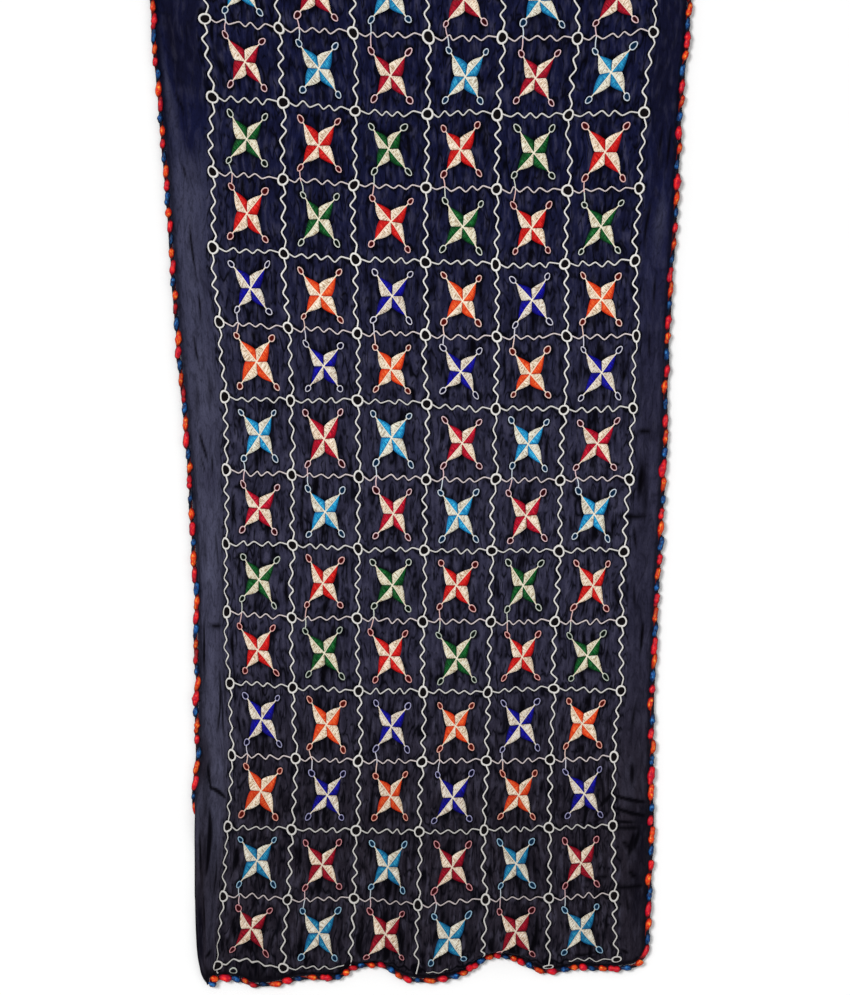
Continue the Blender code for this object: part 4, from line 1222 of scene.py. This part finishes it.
def make_cord():
    line, line_run, girth, blues = cord_line()
    steps = int(round((line_run[-1] - HEM_CORD_START) / (CORD_LAY / STRAND_STEPS)))
    run = np.linspace(HEM_CORD_START, line_run[-1], steps + 1)
    # the meeting of the four stretches is smoothed
    kernel = np.hanning(9)[1:-1]
    kernel /= kernel.sum()
    plan = together(*(np.convolve(np.pad(np.interp(run, line_run, axis), 3, mode="edge"), kernel, "valid")
                      for axis in line.T))
    end_fade = ease((run - run[0]) / END_FADE) * ease((run[-1] - run) / END_FADE)
    aside = rightward(unit(np.gradient(plan, axis=0)))
    wander = slow_noise(run, 0.040, 5) * 0.0007 + slow_noise(run, 0.014, 6) * 0.0004
    height = CORE_HEIGHT + slow_noise(run, 0.030, 7) * 0.0003
    centre = np.column_stack([plan + aside * wander[:, None], height])

    places, counts = np.array(blues).T
    counts = np.where(counts == 0, np.round(np.diff(places, prepend=0) / CORD_LAY), counts)
    places = np.concatenate([[places[0] - 2 * CORD_LAY], places, [places[-1] + 20 * CORD_LAY]])
    turns = np.interp(run, places, 2 / 3 + np.cumsum(np.concatenate([[0], counts, [20]])))
    turns = turns + slow_noise(run, 0.035, 8) * 0.022
    girth = np.interp(run, line_run, girth)

    made = []
    for k, strand in enumerate(STRANDS):
        turned = turns - k / 3
        bead = np.floor(turned + 0.5).astype(int)
        beads = np.random.default_rng(40 + k).standard_normal((3, bead.max() + 2))
        size = strand.size * np.clip(1 + 0.13 * beads[0], 0.72, 1.28)[bead]
        size = np.where((strand.name == "blue") & (bead == 2), 1.30, size)      # the knot at the corner
        half_turn = strand.half_turn * np.clip(1 + 0.18 * beads[1], 0.72, 1.28)[bead]
        swell = np.sqrt(np.clip(1 - ((turned - bead) / half_turn) ** 2, 0, 1))
        lumps = 1 + 0.17 * slow_noise(run, 0.0042, 50 + k) + 0.06 * slow_noise(run, 0.010, 54 + k)
        radius = STRAND_THIN + size * STRAND_SWELL * swell * np.clip(lumps, 0.6, 1.3)
        radius *= (0.25 + 0.75 * end_fade) * girth
        reach = STRAND_REACH + 0.0002 * slow_noise(run, 0.03, 60 + k)
        jump = 0.0009 * beads[2][bead] * swell
        sideways = np.sin(math.tau * turned) * reach + jump
        path = centre + np.column_stack([aside * sideways[:, None], np.cos(math.tau * turned) * reach])
        points, quads, angles = tube(path, radius, 9, flatten=0.92)
        points[..., 2] = np.maximum(points[..., 2], 0.0001)
        lit = np.clip(radius / girth / FULL_STRAND, 0, 1)
        silk = make_strand(f"silk_strand_{strand.name}", *strand[3:])
        made.append(make_mesh(f"edge_strand_{strand.name}", points, quads, silk, "silk_cord",
                              {"stitch": together(run[:, None] + k * 0.37, angles, lit[:, None])}))
    points, quads, angles = tube(centre[::3], (0.0028 + 0.0002 * slow_noise(run, 0.02, 70))[::3], 8)
    # the cloth rolled into the cord is painted in shade
    made.append(make_mesh("rolled_edge", points, quads, chiffon, "chiffon",
                          {"flat": together(angles * 2.4, run[::3, None] / MM, 0.0),
                           "tone": np.broadcast_to((0, 0, 0.45), points.shape)}))
    return made


# ================================================================ putting it together
cloth = make_cloth()
stitched = make_grid() + make_stars()
cord = make_cord()
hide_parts("shawl_cloth")
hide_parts("edge_cord_left", "edge_cord_right", "edge_cord_hem", "edge_cord_top")


# ================================================================ the studio
def make_floor():
    n = Nodes("studio_white", (0.90, 0.90, 0.90, 1))
    n.dye((0.92, 0.92, 0.92, 1), n.noise(n.new("TexCoord", {}, "Object"), scale=0.6), 0.3, 0.7)
    bpy.ops.mesh.primitive_grid_add(x_subdivisions=8, y_subdivisions=8, size=60, location=(0, 0, -0.0002))
    floor = bpy.context.active_object
    floor.name = "floor"
    floor.data.materials.append(n.finish(0.9, Specular_IOR_Level=0.1))


def add_sun(name, source, strength, softness):
    light = bpy.data.lights.new(name, 'SUN')
    light.energy = strength
    light.angle = math.radians(softness)
    lamp = bpy.data.objects.new(name, light)
    lamp.rotation_euler = Vector(source).to_track_quat('Z', 'Y').to_euler()
    bpy.context.scene.collection.objects.link(lamp)


make_floor()
add_sun("key", (-0.85, 0.50, 1.50), 1.98, 22)
add_sun("fill", (1.2, -0.6, 1.6), 0.25, 60)
world = bpy.data.worlds.new("studio")
world.use_nodes = True
world.node_tree.nodes["Background"].inputs["Color"].default_value = (1, 1, 1, 1)
world.node_tree.nodes["Background"].inputs["Strength"].default_value = 0.54
bpy.context.scene.world = world
bpy.context.scene.view_settings.view_transform = 'Standard'

PIXEL = 0.00161               # metres that one pixel of the picture shows
PICTURE_HEIGHT = 995          # in pixels
CAMERA_HEIGHT = 6.0
FILM = 36
camera_data = bpy.data.cameras.new("camera")
camera_data.sensor_width = FILM
camera_data.lens = FILM * CAMERA_HEIGHT / (PICTURE_HEIGHT * PIXEL)
camera_data.clip_end = 100
camera = bpy.data.objects.new("camera", camera_data)
camera.location = (*part_shift[:2], CAMERA_HEIGHT)
bpy.context.scene.collection.objects.link(camera)
bpy.context.scene.camera = camera
